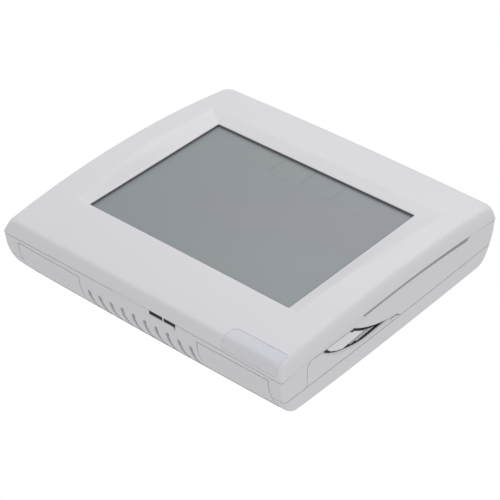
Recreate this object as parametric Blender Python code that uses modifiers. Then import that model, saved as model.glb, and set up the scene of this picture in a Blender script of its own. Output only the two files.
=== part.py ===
"""Touchscreen wall thermostat: a display head that snaps onto a wallplate.

Frame: the wall is the plane Y = 0 and the front faces -Y, +X is to the right of someone who
faces the display, +Z is up, and the origin is on the wallplate's back, at its centre.
Sizes below are in millimetres, and depth means the distance out from the wall, along -Y.
"""

import math

import bmesh
import bpy
from mathutils import Matrix, Vector

MM = 0.001
GAP = 0.3

# Outer shape: a rounded rectangle with slightly bowed sides, under an arched face.
HALF_W = 63.4
HALF_H = 59.0
BOW_W = 1.2
CASE_BOW_W = 0.4
BOW_H = 0.5
CORNER_R = 1.2
CORNER_SOFT = (3.5, 6.0)
FACE_DEPTH = 23.5
ARCH = 4.4
CROWN = 0.5
TAPER_H = 6.9
TAPER_CURVE = 2.1
TAPER_DEPTH = 18.0
TAPER_W = 0.3
BACK_EDGE_R = 3.0
BACK_EDGE_LOW_R = 1.6

# Front cover, its window and the dish round the window.
COVER_SIDE = 5.3
SEAM_BOW = 0.7
WALL = 2.0
WINDOW_W = 91.2
WINDOW_H = 68.4
WINDOW_DEPTH = 25.3
LEDGE_DEPTH = 24.75
DISH_HALF_W = 52.0
DISH_TOP = 40.2
DISH_BOTTOM = -35.6

# The cover's rounded edge: drop from the face, then the inset of the sides, the bottom and the top.
COVER_EDGE = (
    (3.8, 0.38, 0.3, 0.0), (2.6, 0.8, 0.65, 0.0), (1.5, 1.3, 1.05, 0.03), (0.82, 1.75, 1.4, 0.29),
    (0.35, 2.3, 1.85, 0.73), (0.07, 3.05, 2.5, 1.35), (0.0, 3.8, 3.2, 2.6), (0.0, 7.5, 5.9, 5.9),
)

# Rear case.
CASE_BACK = 8.8
CASE_FLOOR = 10.1
CASE_SET_IN = 0.15
BOSS_R = 2.8
BOSS_LENGTH = (12.8, 18.5)
CASE_HOLE_R = 1.5
CASE_SINK = (2.9, 10.4)
CASE_SCREWS = ((-50.0, 48.5), (50.0, 48.5), (-20.5, -49.5), (20.5, -49.5))
BOARD_SCREWS = ((-54.5, 30.0), (54.5, 30.0), (-54.5, -30.0), (54.5, -13.5))

# Battery drawer: two AAA cells lie side by side, pointing into the head.
CELL_R = 5.05
CELL_LENGTH = 44.5
CELL_DEPTH = 13.75
CELL_Z = (-38.6, -28.0)
CELL_X0 = 15.6
BAY_X0 = 12.0
BAY_Z = (-44.5, -21.6)
BAY_DEPTH = (CASE_BACK - 0.1, 18.95)
DRAWER_LOW_Z = -46.2
TRAY_X0 = 15.0
TRAY_Z = (-44.2, -22.2)
TRAY_DEPTH = (CASE_BACK, 13.6)
DRAWER_FACE_X = 60.9
SCOOP_FLOOR_X = 61.5
BRIDGE_X = 60.5

# Release tabs, vents and card slot on the bottom side.
TAB_W = 30.0
TAB_X = (-41.9, 42.5)
TAB_TOP = 16.75
TAB_THICK = 2.0
TAB_TRAVEL = 1.3
GROOVE_W = 16.6
GROOVE_DEPTH = 6.6
GROOVE_R = 6.0
GROOVE_Z = -55.9
TAB_PIVOT = (5.0, -55.7)
APRON_X = (TAB_X[0] + TAB_W / 2.0 + GAP, TAB_X[1] - TAB_W / 2.0 - GAP)
APRON_BACK = 1.2
VENT_COUNT = 10
VENT_PITCH = 5.2
VENT_W = 1.6
VENT_TOP = 13.0
VENT_X = 0.6
SLOT_X = (5.7, 18.0)
SLOT_DEPTH = (17.4, 18.9)
SOCKET_X = (5.5, 17.4)

# Wallplate.
PLATE_FLOOR = 2.2
PLATE_RIM = 8.5
PLATE_LIP = 0.7
RIM_WALL = 1.9
WIRE_X = 10.0
WIRE_Z = (5.0, 32.0)
BLOCK_X = 19.0
BLOCK_W = 11.0
BLOCK_Z = (-13.0, 34.5)
BLOCK_TOP = 10.6
TERMINALS = 7
TERMINAL_PITCH = 6.4

# Wall screws, the jumper's rails and the guides that hold the head up, all on the wallplate.
WALL_SCREWS = ((-38.0, 30.0), (38.0, 30.0), (0.0, -34.0))
WALL_SCREW_R = 2.3
JUMPER_X = (-32.7, -28.5)
JUMPER_Z = (-8.0, 0.0)
RAIL_W = 1.0
RAIL_Z = (-9.0, 8.0)
HEAD_GUIDE_X = 36.0
HEAD_GUIDE_Z = (48.0, 49.6)
HEAD_GUIDE_TIP = 13.0

# Display stack and alert light window.
BOARD_DEPTH = (15.0, 16.6)
FRAME_HALF_W = 50.8
FRAME_HALF_H = 40.2
FRAME_DEPTH = (19.1, 24.4)
GLASS_HALF_W = 49.0
GLASS_HALF_H = 38.2
GLASS_DEPTH = (21.0, 23.2)
TOUCH_DEPTH = (23.5, 24.4)
LIGHT_GUIDE = ((-47.0, 47.0), (FRAME_DEPTH[0], 20.7), (-34.0, 34.0))
STRIP_Z = 36.2
STRIP_X = {"top": (-44.0, 44.0), "bottom": (-44.0, 10.0)}
LENS_SPAN = ((38.3, 60.6), (19.6, 30.0), (-62.0, -52.4))
LENS_GAP = 0.15

# Main board outline in (x, z): a step clears the battery bay and a tongue carries the card socket.
BOARD_OUTLINE = (
    (-57.0, 43.0), (57.0, 43.0), (57.0, -19.4), (10.0, -19.4), (10.0, -47.2), (17.2, -47.2),
    (17.2, -52.0), (3.0, -52.0), (3.0, -45.0), (-57.0, -45.0),
)
RELAY_X = (-51.0, -40.5, -30.0)
RELAY_SIZE = (9.0, 14.0)
RELAY_Z = -19.0
CAPACITORS = ((-36.0, -36.0), (-25.0, -36.0))
CAPACITOR_R = 4.0
TALL_BACK = 10.2
SOUNDER = (-2.0, -34.0, 5.0, 11.0)
CHIP_BACK = BOARD_DEPTH[0] - GAP

RING_SIDES = (8, 10)
RING_ARC = 4


def clear_scene():
    for obj in list(bpy.data.objects):
        bpy.data.objects.remove(obj, do_unlink=True)


def new_collection(name):
    collection = bpy.data.collections.new(name)
    bpy.context.scene.collection.children.link(collection)
    return collection


clear_scene()
PARTS = new_collection("thermostat")
CUTTERS = new_collection("cutters")


def finish(name, color, roughness=0.5, metallic=0.0, alpha=1.0, transmission=0.0):
    """One Principled material."""
    material = bpy.data.materials.new(name)
    material.use_nodes = True
    shader = material.node_tree.nodes["Principled BSDF"]
    shader.inputs["Base Color"].default_value = (*color, 1.0)
    shader.inputs["Roughness"].default_value = roughness
    shader.inputs["Metallic"].default_value = metallic
    shader.inputs["Alpha"].default_value = alpha
    shader.inputs["Transmission Weight"].default_value = transmission
    material.diffuse_color = (*color, alpha)
    return material


WHITE = (0.80, 0.80, 0.82)
SHELL_WHITE = finish("shell_white", WHITE, 0.45)
CASE_WHITE = finish("case_white", (0.76, 0.76, 0.78), 0.5)
DRAWER_WHITE = finish("drawer_white", (0.78, 0.78, 0.80), 0.5)
PLATE_WHITE = finish("plate_white", (0.74, 0.74, 0.76), 0.55)
TAB_WHITE = finish("tab_white", (0.75, 0.75, 0.77), 0.55)
LENS = finish("lens_frosted", (0.66, 0.72, 0.80), 0.3, transmission=0.4)
TOUCH = finish("touch_film", (0.85, 0.88, 0.90), 0.25, alpha=0.15)
LCD = finish("lcd_grey", (0.33, 0.37, 0.37), 0.15)
GUIDE = finish("light_guide", (0.9, 0.92, 0.95), 0.2, transmission=0.5)
FRAME_BLACK = finish("frame_black", (0.03, 0.03, 0.03), 0.6)
ELASTOMER = finish("elastomer", (0.10, 0.10, 0.12), 0.8)
BOARD_GREEN = finish("board_green", (0.02, 0.20, 0.08), 0.4)
STEEL = finish("zinc_steel", (0.62, 0.62, 0.60), 0.3, metallic=1.0)
BRASS = finish("brass", (0.78, 0.62, 0.32), 0.3, metallic=1.0)
SPRING_STEEL = finish("nickel_spring", (0.70, 0.70, 0.70), 0.25, metallic=1.0)
RELAY_BLACK = finish("relay_black", (0.04, 0.04, 0.05), 0.5)
CHIP_BLACK = finish("chip_black", (0.02, 0.02, 0.02), 0.45)
CAN_ALU = finish("can_aluminium", (0.75, 0.76, 0.78), 0.3, metallic=1.0)
SENSOR_WHITE = finish("sensor_white", (0.85, 0.85, 0.85), 0.6)
BLOCK_GREY = finish("block_grey", (0.45, 0.47, 0.50), 0.55)
JUMPER_RED = finish("jumper_red", (0.55, 0.05, 0.04), 0.5)
CELL_WRAP = finish("cell_wrap", (0.10, 0.12, 0.16), 0.35)


def place(x, depth, z):
    """A point in metres from millimetres and a depth."""
    return Vector((x, -depth, z)) * MM


def add_object(name, mesh, material, collection=None):
    obj = bpy.data.objects.new(name, mesh)
    (collection or PARTS).objects.link(obj)
    if material:
        mesh.materials.append(material)
    return obj


def guide(obj):
    """Mark an object as a cutter or a piece to be joined, which is not a part itself."""
    for collection in list(obj.users_collection):
        collection.objects.unlink(obj)
    CUTTERS.objects.link(obj)
    obj.hide_render = True
    obj.display_type = "WIRE"
    return obj


def from_bmesh(bm, name, material, smooth=True):
    bmesh.ops.recalc_face_normals(bm, faces=bm.faces)
    mesh = bpy.data.meshes.new(name)
    bm.to_mesh(mesh)
    bm.free()
    if smooth:
        mesh.shade_smooth()
        mesh.set_sharp_from_angle(angle=math.radians(35.0))
    return add_object(name, mesh, material)


def add_box(bm, x, depth, z):
    center = place(sum(x) / 2.0, sum(depth) / 2.0, sum(z) / 2.0)
    size = Vector((x[1] - x[0], depth[1] - depth[0], z[1] - z[0])) * MM
    matrix = Matrix.Translation(center) @ Matrix.Diagonal((*size, 1.0))
    bmesh.ops.create_cube(bm, size=1.0, matrix=matrix)


def boxes(name, spans, material=None, bevel=0.0):
    """One object of boxes, each given as (x, depth, z) spans."""
    bm = bmesh.new()
    for x, depth, z in spans:
        add_box(bm, x, depth, z)
    obj = from_bmesh(bm, name, material, smooth=False)
    if bevel:
        modifier = obj.modifiers.new("edges", "BEVEL")
        modifier.width = bevel * MM
        modifier.segments = 1
        modifier.limit_method = "ANGLE"
    return obj


AXIS_TURN = {
    "Y": Matrix.Rotation(math.radians(90.0), 4, "X"),
    "X": Matrix.Rotation(math.radians(90.0), 4, "Y"),
    "Z": Matrix.Identity(4),
}


def add_cylinder(bm, center, radius, length, axis="Y", segments=16):
    matrix = Matrix.Translation(place(*center)) @ AXIS_TURN[axis]
    bmesh.ops.create_cone(bm, cap_ends=True, segments=segments, radius1=radius * MM,
                          radius2=radius * MM, depth=length * MM, matrix=matrix)


def post(bm, x, z, radius, depth, segments=16):
    """A round post along the depth direction."""
    add_cylinder(bm, (x, sum(depth) / 2.0, z), radius, depth[1] - depth[0], "Y", segments)


def extrude(name, points, along, material=None):
    """A flat outline of points, drawn out along a vector."""
    bm = bmesh.new()
    face = bm.faces.new([bm.verts.new(point) for point in points])
    grown = bmesh.ops.extrude_face_region(bm, geom=[face])
    moved = [item for item in grown["geom"] if isinstance(item, bmesh.types.BMVert)]
    bmesh.ops.translate(bm, verts=moved, vec=along)
    return from_bmesh(bm, name, material, smooth=False)


def prism(name, outline, x):
    """An outline of (z, depth) points, drawn out along X."""
    points = [place(x[0], depth, z) for z, depth in outline]
    return extrude(name, points, place(x[1] - x[0], 0.0, 0.0))


def pivot(obj, x, depth, z):
    """Put an object's origin on its joint's axis and leave its shape where it is."""
    origin = place(x, depth, z)
    obj.data.transform(Matrix.Translation(-origin))
    obj.location = origin


def boolean(target, other, operation):
    modifier = target.modifiers.new(other.name, "BOOLEAN")
    modifier.operation = operation
    modifier.object = guide(other)


def cut(target, *cutters):
    for cutter in cutters:
        boolean(target, cutter, "DIFFERENCE")


def join(target, *pieces):
    for piece in pieces:
        boolean(target, piece, "UNION")


def face_depth(x, z):
    """Depth of the arched front face."""
    return FACE_DEPTH + ARCH * (1.0 - (z / HALF_H) ** 2) + CROWN * (1.0 - (x / HALF_W) ** 2)


def cover_side(x):
    """Height of the cover's side: a little less halfway along the bottom and the top."""
    return COVER_SIDE - SEAM_BOW * (1.0 - (x / HALF_W) ** 2)


def seam_depth(x, z):
    return face_depth(x, z) - cover_side(x)


def edge_cut(radius, depth):
    """How far a rounded edge at the wall is set in at a depth."""
    rise = max(radius - depth, 0.0)
    return radius - math.sqrt(radius ** 2 - rise ** 2)


def taper_w(depth):
    """How far the left and right sides are set in at a depth."""
    return TAPER_W * max(0.0, 1.0 - depth / TAPER_DEPTH) + edge_cut(BACK_EDGE_R, depth)


def taper_h(depth):
    """How far the top and bottom sides are set in at a depth: they curl in towards the wall."""
    curl = TAPER_H * max(0.0, 1.0 - depth / TAPER_DEPTH) ** TAPER_CURVE
    return curl + edge_cut(BACK_EDGE_LOW_R, depth)


def corner_radius(depth):
    """The upright corners grow rounder close to the wall."""
    return CORNER_R + CORNER_SOFT[0] * max(0.0, 1.0 - depth / CORNER_SOFT[1]) ** 2


def rounded_rect(half_w, half_h, radius):
    """Points round a rounded rectangle, the same number for any size."""
    points = []
    corners = ((1, 1), (-1, 1), (-1, -1), (1, -1))
    for index, (side_x, side_z) in enumerate(corners):
        center = Vector((side_x * (half_w - radius), side_z * (half_h - radius)))
        for step in range(RING_ARC + 1):
            angle = math.radians(90.0) * (index + step / RING_ARC)
            points.append(center + radius * Vector((math.cos(angle), math.sin(angle))))
        following = corners[(index + 1) % 4]
        start = points[-1]
        end_angle = math.radians(90.0) * (index + 1)
        end = Vector((following[0] * (half_w - radius), following[1] * (half_h - radius)))
        end += radius * Vector((math.cos(end_angle), math.sin(end_angle)))
        count = RING_SIDES[index % 2]
        points += [start.lerp(end, step / count) for step in range(1, count)]
    return points


def bowed(point, bow_w=BOW_W):
    """A point of the plain outline, moved out where the sides bow."""
    x, z = point
    return Vector((x * (1.0 + bow_w / HALF_W * (1.0 - (z / HALF_H) ** 2)),
                   z * (1.0 + BOW_H / HALF_H * (1.0 - (x / HALF_W) ** 2))))


def ring(inset, depth, radius=None, inset_z=None, bow_w=BOW_W, inset_top=None):
    """A ring of the body outline; depth is a number or a function of x and z."""
    half_w = HALF_W - inset
    half_h = HALF_H - (inset if inset_z is None else inset_z)
    corner = max(CORNER_R - inset, 0.8) if radius is None else radius
    stretch = 1.0 if inset_top is None else (HALF_H - inset_top) / half_h
    points = [Vector((x, z * (stretch if z > 0.0 else 1.0)))
              for x, z in rounded_rect(half_w, half_h, corner)]
    return raise_points([bowed(point, bow_w) for point in points], depth)


def window_ring(half_w, top, bottom, depth, radius=0.4):
    """A ring of a plain rectangle, for the window and the dish."""
    middle = (top + bottom) / 2.0
    points = rounded_rect(half_w, (top - bottom) / 2.0, radius)
    return raise_points([Vector((x, z + middle)) for x, z in points], depth)


def raise_points(points, depth):
    if callable(depth):
        return [place(x, depth(x, z), z) for x, z in points]
    return [place(x, depth, z) for x, z in points]


def side_ring(depth, wall=0.0):
    """A ring of the body's side at one depth, set in by a wall thickness."""
    return ring(CASE_SET_IN + taper_w(depth) + wall, depth, max(corner_radius(depth) - wall, 1.0),
                CASE_SET_IN + taper_h(depth) + wall, CASE_BOW_W)


def loft(name, rings, material, closed):
    """Quads between rings: closed on itself, or with a flat cap at each end."""
    bm = bmesh.new()
    rows = [[bm.verts.new(point) for point in points] for points in rings]
    pairs = list(zip(rows, rows[1:]))
    if closed:
        pairs.append((rows[-1], rows[0]))
    else:
        bm.faces.new(rows[0])
        bm.faces.new(rows[-1])
    for low, high in pairs:
        count = len(low)
        for index in range(count):
            after = (index + 1) % count
            bm.faces.new((low[index], low[after], high[after], high[index]))
    return from_bmesh(bm, name, material)


def at_face(drop):
    """A depth function: the face, less a drop."""
    return lambda x, z: face_depth(x, z) - drop


def on_side(drop):
    """A depth function: down the cover's side, where the full drop is at the seam."""
    return lambda x, z: face_depth(x, z) - drop * cover_side(x) / COVER_SIDE


def at_seam(rise):
    return lambda x, z: seam_depth(x, z) + rise


def bottom_skin(name, x, depth, thickness, material, steps=8, lift=0.0):
    """A strip of the bottom side between two depths, as a curved plate."""
    columns = []
    for step in range(steps + 1):
        level = depth[0] + (depth[1] - depth[0]) * step / steps
        columns.append((level, HALF_H - CASE_SET_IN - taper_h(level) - lift))
    bm = bmesh.new()
    rows = []
    for along in range(5):
        across = x[0] + (x[1] - x[0]) * along / 4.0
        outer = [(level, -bowed((across, half))[1]) for level, half in columns]
        inner = [(level, z + thickness) for level, z in reversed(outer)]
        rows.append([bm.verts.new(place(across, level, z)) for level, z in outer + inner])
    bm.faces.new(rows[0])
    bm.faces.new(rows[-1])
    for near, far in zip(rows, rows[1:]):
        count = len(near)
        for index in range(count):
            after = (index + 1) % count
            bm.faces.new((near[index], near[after], far[after], far[index]))
    return from_bmesh(bm, name, material)


# ---------------------------------------------------------------- front cover

def cover_shell(name, material):
    half_w, half_h = WINDOW_W / 2.0, WINDOW_H / 2.0
    edge = [ring(side, on_side(drop), CORNER_R + 0.9 * side, low, inset_top=top)
            for drop, side, low, top in COVER_EDGE]
    rings = [
        ring(0.35, at_seam(0.0)),
        ring(0.0, at_seam(0.4)),
        *edge,
        window_ring(DISH_HALF_W, DISH_TOP, DISH_BOTTOM, at_face(0.0), 0.8),
        window_ring(half_w, half_h, -half_h, WINDOW_DEPTH),
        window_ring(half_w, half_h, -half_h, LEDGE_DEPTH),
        window_ring(FRAME_HALF_W + 1.2, FRAME_HALF_H + 1.0, -FRAME_HALF_H - 1.0, LEDGE_DEPTH, 0.8),
        ring(5.5, at_face(WALL)),
        ring(3.4, at_face(WALL + 1.0)),
        ring(WALL + 0.35, at_seam(0.0)),
    ]
    return loft(name, rings, material, closed=True)


def make_cover():
    cover = cover_shell("front_cover", SHELL_WHITE)
    bosses, holes = bmesh.new(), bmesh.new()
    for x, z in CASE_SCREWS:
        post(bosses, x, z, BOSS_R, (BOSS_LENGTH[0], face_depth(x, z) - 1.0))
        post(holes, x, z, 1.2, (BOSS_LENGTH[0] - 1.0, BOSS_LENGTH[1]), 10)
    for x, z in BOARD_SCREWS:
        post(bosses, x, z, BOSS_R - 0.4, (BOARD_DEPTH[1] + GAP, face_depth(x, z) - 1.0))
        post(holes, x, z, 1.0, (BOARD_DEPTH[1] - 1.0, BOARD_DEPTH[1] + 3.4), 10)
    join(cover, from_bmesh(bosses, "cover_bosses", None))
    cut(cover, from_bmesh(holes, "cover_screw_holes", None))
    cut(cover, boxes("lens_seat", [LENS_SPAN]))


def make_alert_light():
    """The window is a piece of the cover's own shape; the light sits behind it."""
    lens = cover_shell("alert_light_window", LENS)
    x, depth, z = LENS_SPAN
    blank = ((x[0] + LENS_GAP, x[1] - LENS_GAP), (depth[0] + LENS_GAP, depth[1]), (z[0], z[1] - LENS_GAP))
    boolean(lens, boxes("lens_blank", [blank]), "INTERSECT")
    middle = (x[0] + x[1]) / 2.0
    boxes("alert_led", [((middle - 1.6, middle + 1.6), (17.0, 19.0), (-52.8, -50.0))], LENS, 0.2)


# ---------------------------------------------------------------- rear case

# Curves in (z, depth) on the right side: the two edges of the leaf-shaped finger scoop.
SCOOP_LEFT = ((-37.6, 17.0), (-36.0, 15.2), (-33.0, 14.1), (-28.6, 12.4), (-24.4, 10.7),
              (-20.6, 9.4))
SCOOP_RIGHT = ((-21.2, 18.95), (-19.9, 17.6), (-17.8, 16.1), (-15.6, 15.1), (-12.9, 13.9),
               (-6.5, 11.5), (-2.0, 10.1), (2.0, 9.1))
TONGUE = ((-34.2, 16.6), (-33.4, 17.7), (-22.3, 18.0), (-20.4, 16.4), (-14.4, 13.7), (-26.0, 12.9))
RIB_DEPTHS = (9.6, 10.8, 12.0)
RIB_LOW = (9.1, -17.8, -2.6)
RIB_LEAN = (2.2, 3.4)


def drawer_outline(shrink):
    """Outline of the drawer's face in (z, depth); the opening in the case is the same, larger."""
    low, high = DRAWER_LOW_Z + shrink, BAY_DEPTH[1] - shrink
    back = PLATE_RIM - 0.1 + shrink * 2.0
    left = [(low, back), (low, high - 2.4), (low + 0.7, high - 0.7), (low + 2.4, high)]
    right = [(z - shrink, min(depth, high)) for z, depth in SCOOP_RIGHT]
    return left + right + [(SCOOP_RIGHT[-1][0] + 0.4 - shrink, back)]


def scoop_outline():
    """Outline of the scoop: inside both curves, clear of the drawer's edge."""
    left = [(z + 0.1, depth) for z, depth in SCOOP_LEFT]
    right = [(z - 1.0, min(depth, 18.2)) for z, depth in reversed(SCOOP_RIGHT)]
    return left + right


def round_posts(name, radius, depth, places, segments=12):
    """Equal round posts at several (x, z) places, to join or to cut with."""
    bm = bmesh.new()
    for x, z in places:
        post(bm, x, z, radius, depth, segments)
    return from_bmesh(bm, name, None)


def floor_windows():
    """Openings in the case's floor for the terminal blocks and the head guides."""
    spans = []
    for side in (-1, 1):
        x = side * BLOCK_X
        half = BLOCK_W / 2.0 + 0.7
        spans.append(((x - half, x + half), (7.0, 11.0), (BLOCK_Z[0] - 0.7, BLOCK_Z[1] + 0.7)))
        x = side * HEAD_GUIDE_X
        spans.append(((x - 4.0, x + 4.0), (7.0, 11.0), (HEAD_GUIDE_Z[0] - 0.8, HEAD_GUIDE_Z[1] + 0.8)))
    return boxes("floor_windows", spans)


def vent_slots():
    first = VENT_X - VENT_PITCH * (VENT_COUNT - 1) / 2.0
    middles = [first + index * VENT_PITCH for index in range(VENT_COUNT)]
    half = VENT_W / 2.0
    spans = [((x - half, x + half), (0.8, VENT_TOP), (-62.0, -46.0)) for x in middles]
    return boxes("vent_slots", spans)


def bay_walls():
    """Two guide walls and an end wall round the battery bay."""
    height = (CASE_FLOOR - 0.5, 16.0)
    near, far = BAY_X0 - 1.2, 58.5
    return boxes("bay_guides", [
        ((near, far), height, (BAY_Z[0] - 1.3, BAY_Z[0])),
        ((near, far), height, (BAY_Z[1], BAY_Z[1] + 1.3)),
    ]), boxes("bay_end", [((near, BAY_X0 + 0.2), height, (BAY_Z[0] - 0.6, BAY_Z[1] + 0.6))])


def tab_seat(case, side, x):
    """A backing wall behind a release tab, set in by the tab's travel, and the notch for the tab."""
    half = TAB_W / 2.0
    backing = bottom_skin(f"backing_{side}", (x - half - 1.5, x + half + 1.5), (CASE_BACK, TAB_TOP + 1.2),
                          TAB_TRAVEL + 1.2, None, lift=TAB_THICK)
    join(case, backing)
    notch = bottom_skin(f"notch_{side}", (x - half - GAP, x + half + GAP), (4.0, TAB_TOP + GAP),
                        TAB_THICK + TAB_TRAVEL + 3.0, None, lift=-3.0)
    cut(case, notch)


def make_case():
    levels = (CASE_BACK, 10.5, 13.0, 15.5)
    outer = [side_ring(level) for level in levels]
    outer.append(ring(CASE_SET_IN, at_seam(-GAP), bow_w=CASE_BOW_W))
    inner = [ring(CASE_SET_IN + WALL, at_seam(-GAP), bow_w=CASE_BOW_W)]
    inner += [side_ring(level, WALL) for level in (15.5, 13.0, CASE_FLOOR)]
    case = loft("rear_case", outer + inner, CASE_WHITE, closed=False)
    join(case, bottom_skin("apron", APRON_X, (APRON_BACK, 10.2), WALL, None))
    boss_span = (CASE_FLOOR - 0.5, BOSS_LENGTH[0] - GAP)
    join(case, round_posts("case_bosses", BOSS_R + 0.6, boss_span, CASE_SCREWS, 16))
    join(case, *bay_walls())
    for side, x in zip(("left", "right"), TAB_X):
        tab_seat(case, side, x)
    cut(case, floor_windows(), boxes("card_slot", [(SLOT_X, SLOT_DEPTH, (-62.0, -50.0))]), vent_slots())
    cut(case, round_posts("case_screw_holes", CASE_HOLE_R, (7.0, 13.5), CASE_SCREWS))
    cut(case, round_posts("case_screw_sinks", CASE_SINK[0], (7.0, CASE_SINK[1]), CASE_SCREWS))
    cut(case, boxes("bay_cutter", [((BAY_X0, 58.6), BAY_DEPTH, BAY_Z)]))
    cut(case, prism("drawer_opening", drawer_outline(0.0), (58.0, 70.0)))


# ---------------------------------------------------------------- battery drawer

def drawer_face():
    """The outer plate of the drawer: the body's side inside the drawer's outline, with its scoop."""
    rings = [side_ring(level) for level in (7.0, 10.5, 13.0, 15.5, 21.0)]
    drawer = loft("battery_drawer", rings, DRAWER_WHITE, closed=False)
    blank = prism("drawer_blank", drawer_outline(0.25), (DRAWER_FACE_X, 70.0))
    boolean(drawer, blank, "INTERSECT")
    cut(drawer, prism("scoop", scoop_outline(), (SCOOP_FLOOR_X, 70.0)))
    join(drawer, prism("tongue", TONGUE, (SCOOP_FLOOR_X - 0.3, SCOOP_FLOOR_X + 0.9)))
    spans = []
    for depth in RIB_DEPTHS:
        rise = depth - RIB_LOW[0]
        z = (RIB_LOW[1] - rise * RIB_LEAN[0], RIB_LOW[2] - rise * RIB_LEAN[1])
        spans.append(((SCOOP_FLOOR_X - 0.3, SCOOP_FLOOR_X + 0.5), (depth, depth + 0.5), z))
    join(drawer, boxes("ribs", spans))
    return drawer


def make_drawer():
    drawer = drawer_face()
    join(drawer, boxes("drawer_tray", [((TRAY_X0, DRAWER_FACE_X + 0.4), TRAY_DEPTH, TRAY_Z)]))
    bm = bmesh.new()
    middle = CELL_X0 + CELL_LENGTH / 2.0
    for z in CELL_Z:
        add_cylinder(bm, (middle, CELL_DEPTH, z), CELL_R + 0.15, CELL_LENGTH + 0.6, "X", 20)
    cut(drawer, from_bmesh(bm, "cell_pockets", None))
    cut(drawer, boxes("bridge_seat", [bridge_span(GAP)]))


def bridge_span(grow):
    """The strip that joins the two cells at the drawer's face, or its seat."""
    thick = 0.15 + grow / 2.0
    height = 3.0 + grow
    return ((BRIDGE_X - thick, BRIDGE_X + thick), (10.4 - grow, 16.6 + grow),
            (CELL_Z[0] - height, CELL_Z[1] + height))


def make_cells():
    middle = CELL_X0 + CELL_LENGTH / 2.0
    for index, z in enumerate(CELL_Z, start=1):
        direction = 1 if index == 1 else -1
        bm = bmesh.new()
        add_cylinder(bm, (middle - direction * 0.5, CELL_DEPTH, z), CELL_R, CELL_LENGTH - 1.0, "X", 20)
        cell = from_bmesh(bm, f"battery_{index}", CELL_WRAP)
        bm = bmesh.new()
        nub = middle + direction * (CELL_LENGTH / 2.0 - 0.8)
        add_cylinder(bm, (nub, CELL_DEPTH, z), 1.9, 1.6, "X", 12)
        join(cell, from_bmesh(bm, f"nub_{index}", None))


# ---------------------------------------------------------------- wallplate

def make_wallplate():
    levels = (0.0, 0.25, 0.9, 2.0, 3.5, 5.5, PLATE_RIM)
    outer = [side_ring(level) for level in levels]
    inner = [side_ring(level, RIM_WALL) for level in (PLATE_RIM, 5.5, PLATE_FLOOR)]
    plate = loft("wallplate", outer + inner, PLATE_WHITE, closed=False)
    half = TAB_W / 2.0 + GAP
    notch = ((TAB_X[0] - half, TAB_X[1] + half), (PLATE_LIP, 10.0), (-62.0, -47.0))
    cut(plate, boxes("wire_opening", [((-WIRE_X, WIRE_X), (-1.0, 4.0), WIRE_Z)]))
    cut(plate, boxes("bottom_notch", [notch]))
    spans = [((side * HEAD_GUIDE_X - 3.0, side * HEAD_GUIDE_X + 3.0), (1.0, HEAD_GUIDE_TIP), HEAD_GUIDE_Z)
             for side in (-1, 1)]
    for x in (JUMPER_X[0] - GAP - RAIL_W, JUMPER_X[1] + GAP):
        spans.append(((x, x + RAIL_W), (1.0, 5.0), RAIL_Z))
    join(plate, boxes("guides_and_rails", spans))
    cut(plate, round_posts("wall_screw_holes", WALL_SCREW_R, (-1.0, 4.0), WALL_SCREWS, 16))


def make_tabs():
    for side, x in zip(("left", "right"), TAB_X):
        span = (x - TAB_W / 2.0, x + TAB_W / 2.0)
        tab = bottom_skin(f"release_tab_{side}", span, (APRON_BACK, TAB_TOP), TAB_THICK, TAB_WHITE,
                          steps=10)
        bm = bmesh.new()
        add_cylinder(bm, (x, GROOVE_DEPTH, GROOVE_Z - GROOVE_R), GROOVE_R, GROOVE_W, "X", 24)
        cut(tab, from_bmesh(bm, f"groove_{side}", None))
        pivot(tab, x, *TAB_PIVOT)


def terminal_screw(name, x, z):
    bm = bmesh.new()
    post(bm, x, z, 2.0, (8.3, 10.0), 12)
    head = from_bmesh(bm, name, STEEL)
    cut(head, boxes(f"{name}_drive", [((x - 0.35, x + 0.35), (9.3, 11.0), (z - 3.0, z + 3.0))]))


def make_terminal_block(name, side):
    """A block of screw terminals on the wallplate, and the head's pins that enter it."""
    x = side * BLOCK_X
    span = ((x - BLOCK_W / 2.0, x + BLOCK_W / 2.0), (PLATE_FLOOR + GAP, BLOCK_TOP), BLOCK_Z)
    block = boxes(f"terminal_block_{name}", [span], BLOCK_GREY, 0.3)
    screw_x = x - side * 2.2
    first = sum(BLOCK_Z) / 2.0 - TERMINAL_PITCH * (TERMINALS - 1) / 2.0
    wells, wires = bmesh.new(), bmesh.new()
    for index in range(TERMINALS):
        z = first + index * TERMINAL_PITCH
        post(wells, screw_x, z, 2.4, (8.0, 12.0), 12)
        add_cylinder(wires, (x - side * 4.5, 5.0, z), 1.2, 6.0, "X", 8)
        terminal_screw(f"terminal_screw_{name}_{index + 1}", screw_x, z)
    cut(block, from_bmesh(wells, f"screw_wells_{name}", None))
    cut(block, from_bmesh(wires, f"wire_holes_{name}", None))
    pin_x = x + side * 3.2
    groove_z = (BLOCK_Z[0] + 1.2, BLOCK_Z[1] - 1.2)
    cut(block, boxes(f"comb_groove_{name}", [((pin_x - 0.9, pin_x + 0.9), (6.0, 12.0), groove_z)]))
    comb_z = (BLOCK_Z[0] + 2.0, BLOCK_Z[1] - 2.0)
    base = ((pin_x - 1.6, pin_x + 1.6), (11.5, CHIP_BACK), comb_z)
    header = boxes(f"pin_header_{name}", [base], RELAY_BLACK, 0.2)
    join(header, boxes(f"header_comb_{name}", [((pin_x - 0.5, pin_x + 0.5), (6.6, 12.0), comb_z)]))


def make_terminals():
    make_terminal_block("left", -1)
    make_terminal_block("right", 1)
    jumper = boxes("jumper_slider", [(JUMPER_X, (PLATE_FLOOR + GAP, 5.6), JUMPER_Z)], JUMPER_RED, 0.3)
    pivot(jumper, sum(JUMPER_X) / 2.0, PLATE_FLOOR + GAP, JUMPER_Z[0])


# ---------------------------------------------------------------- display and electronics

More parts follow.
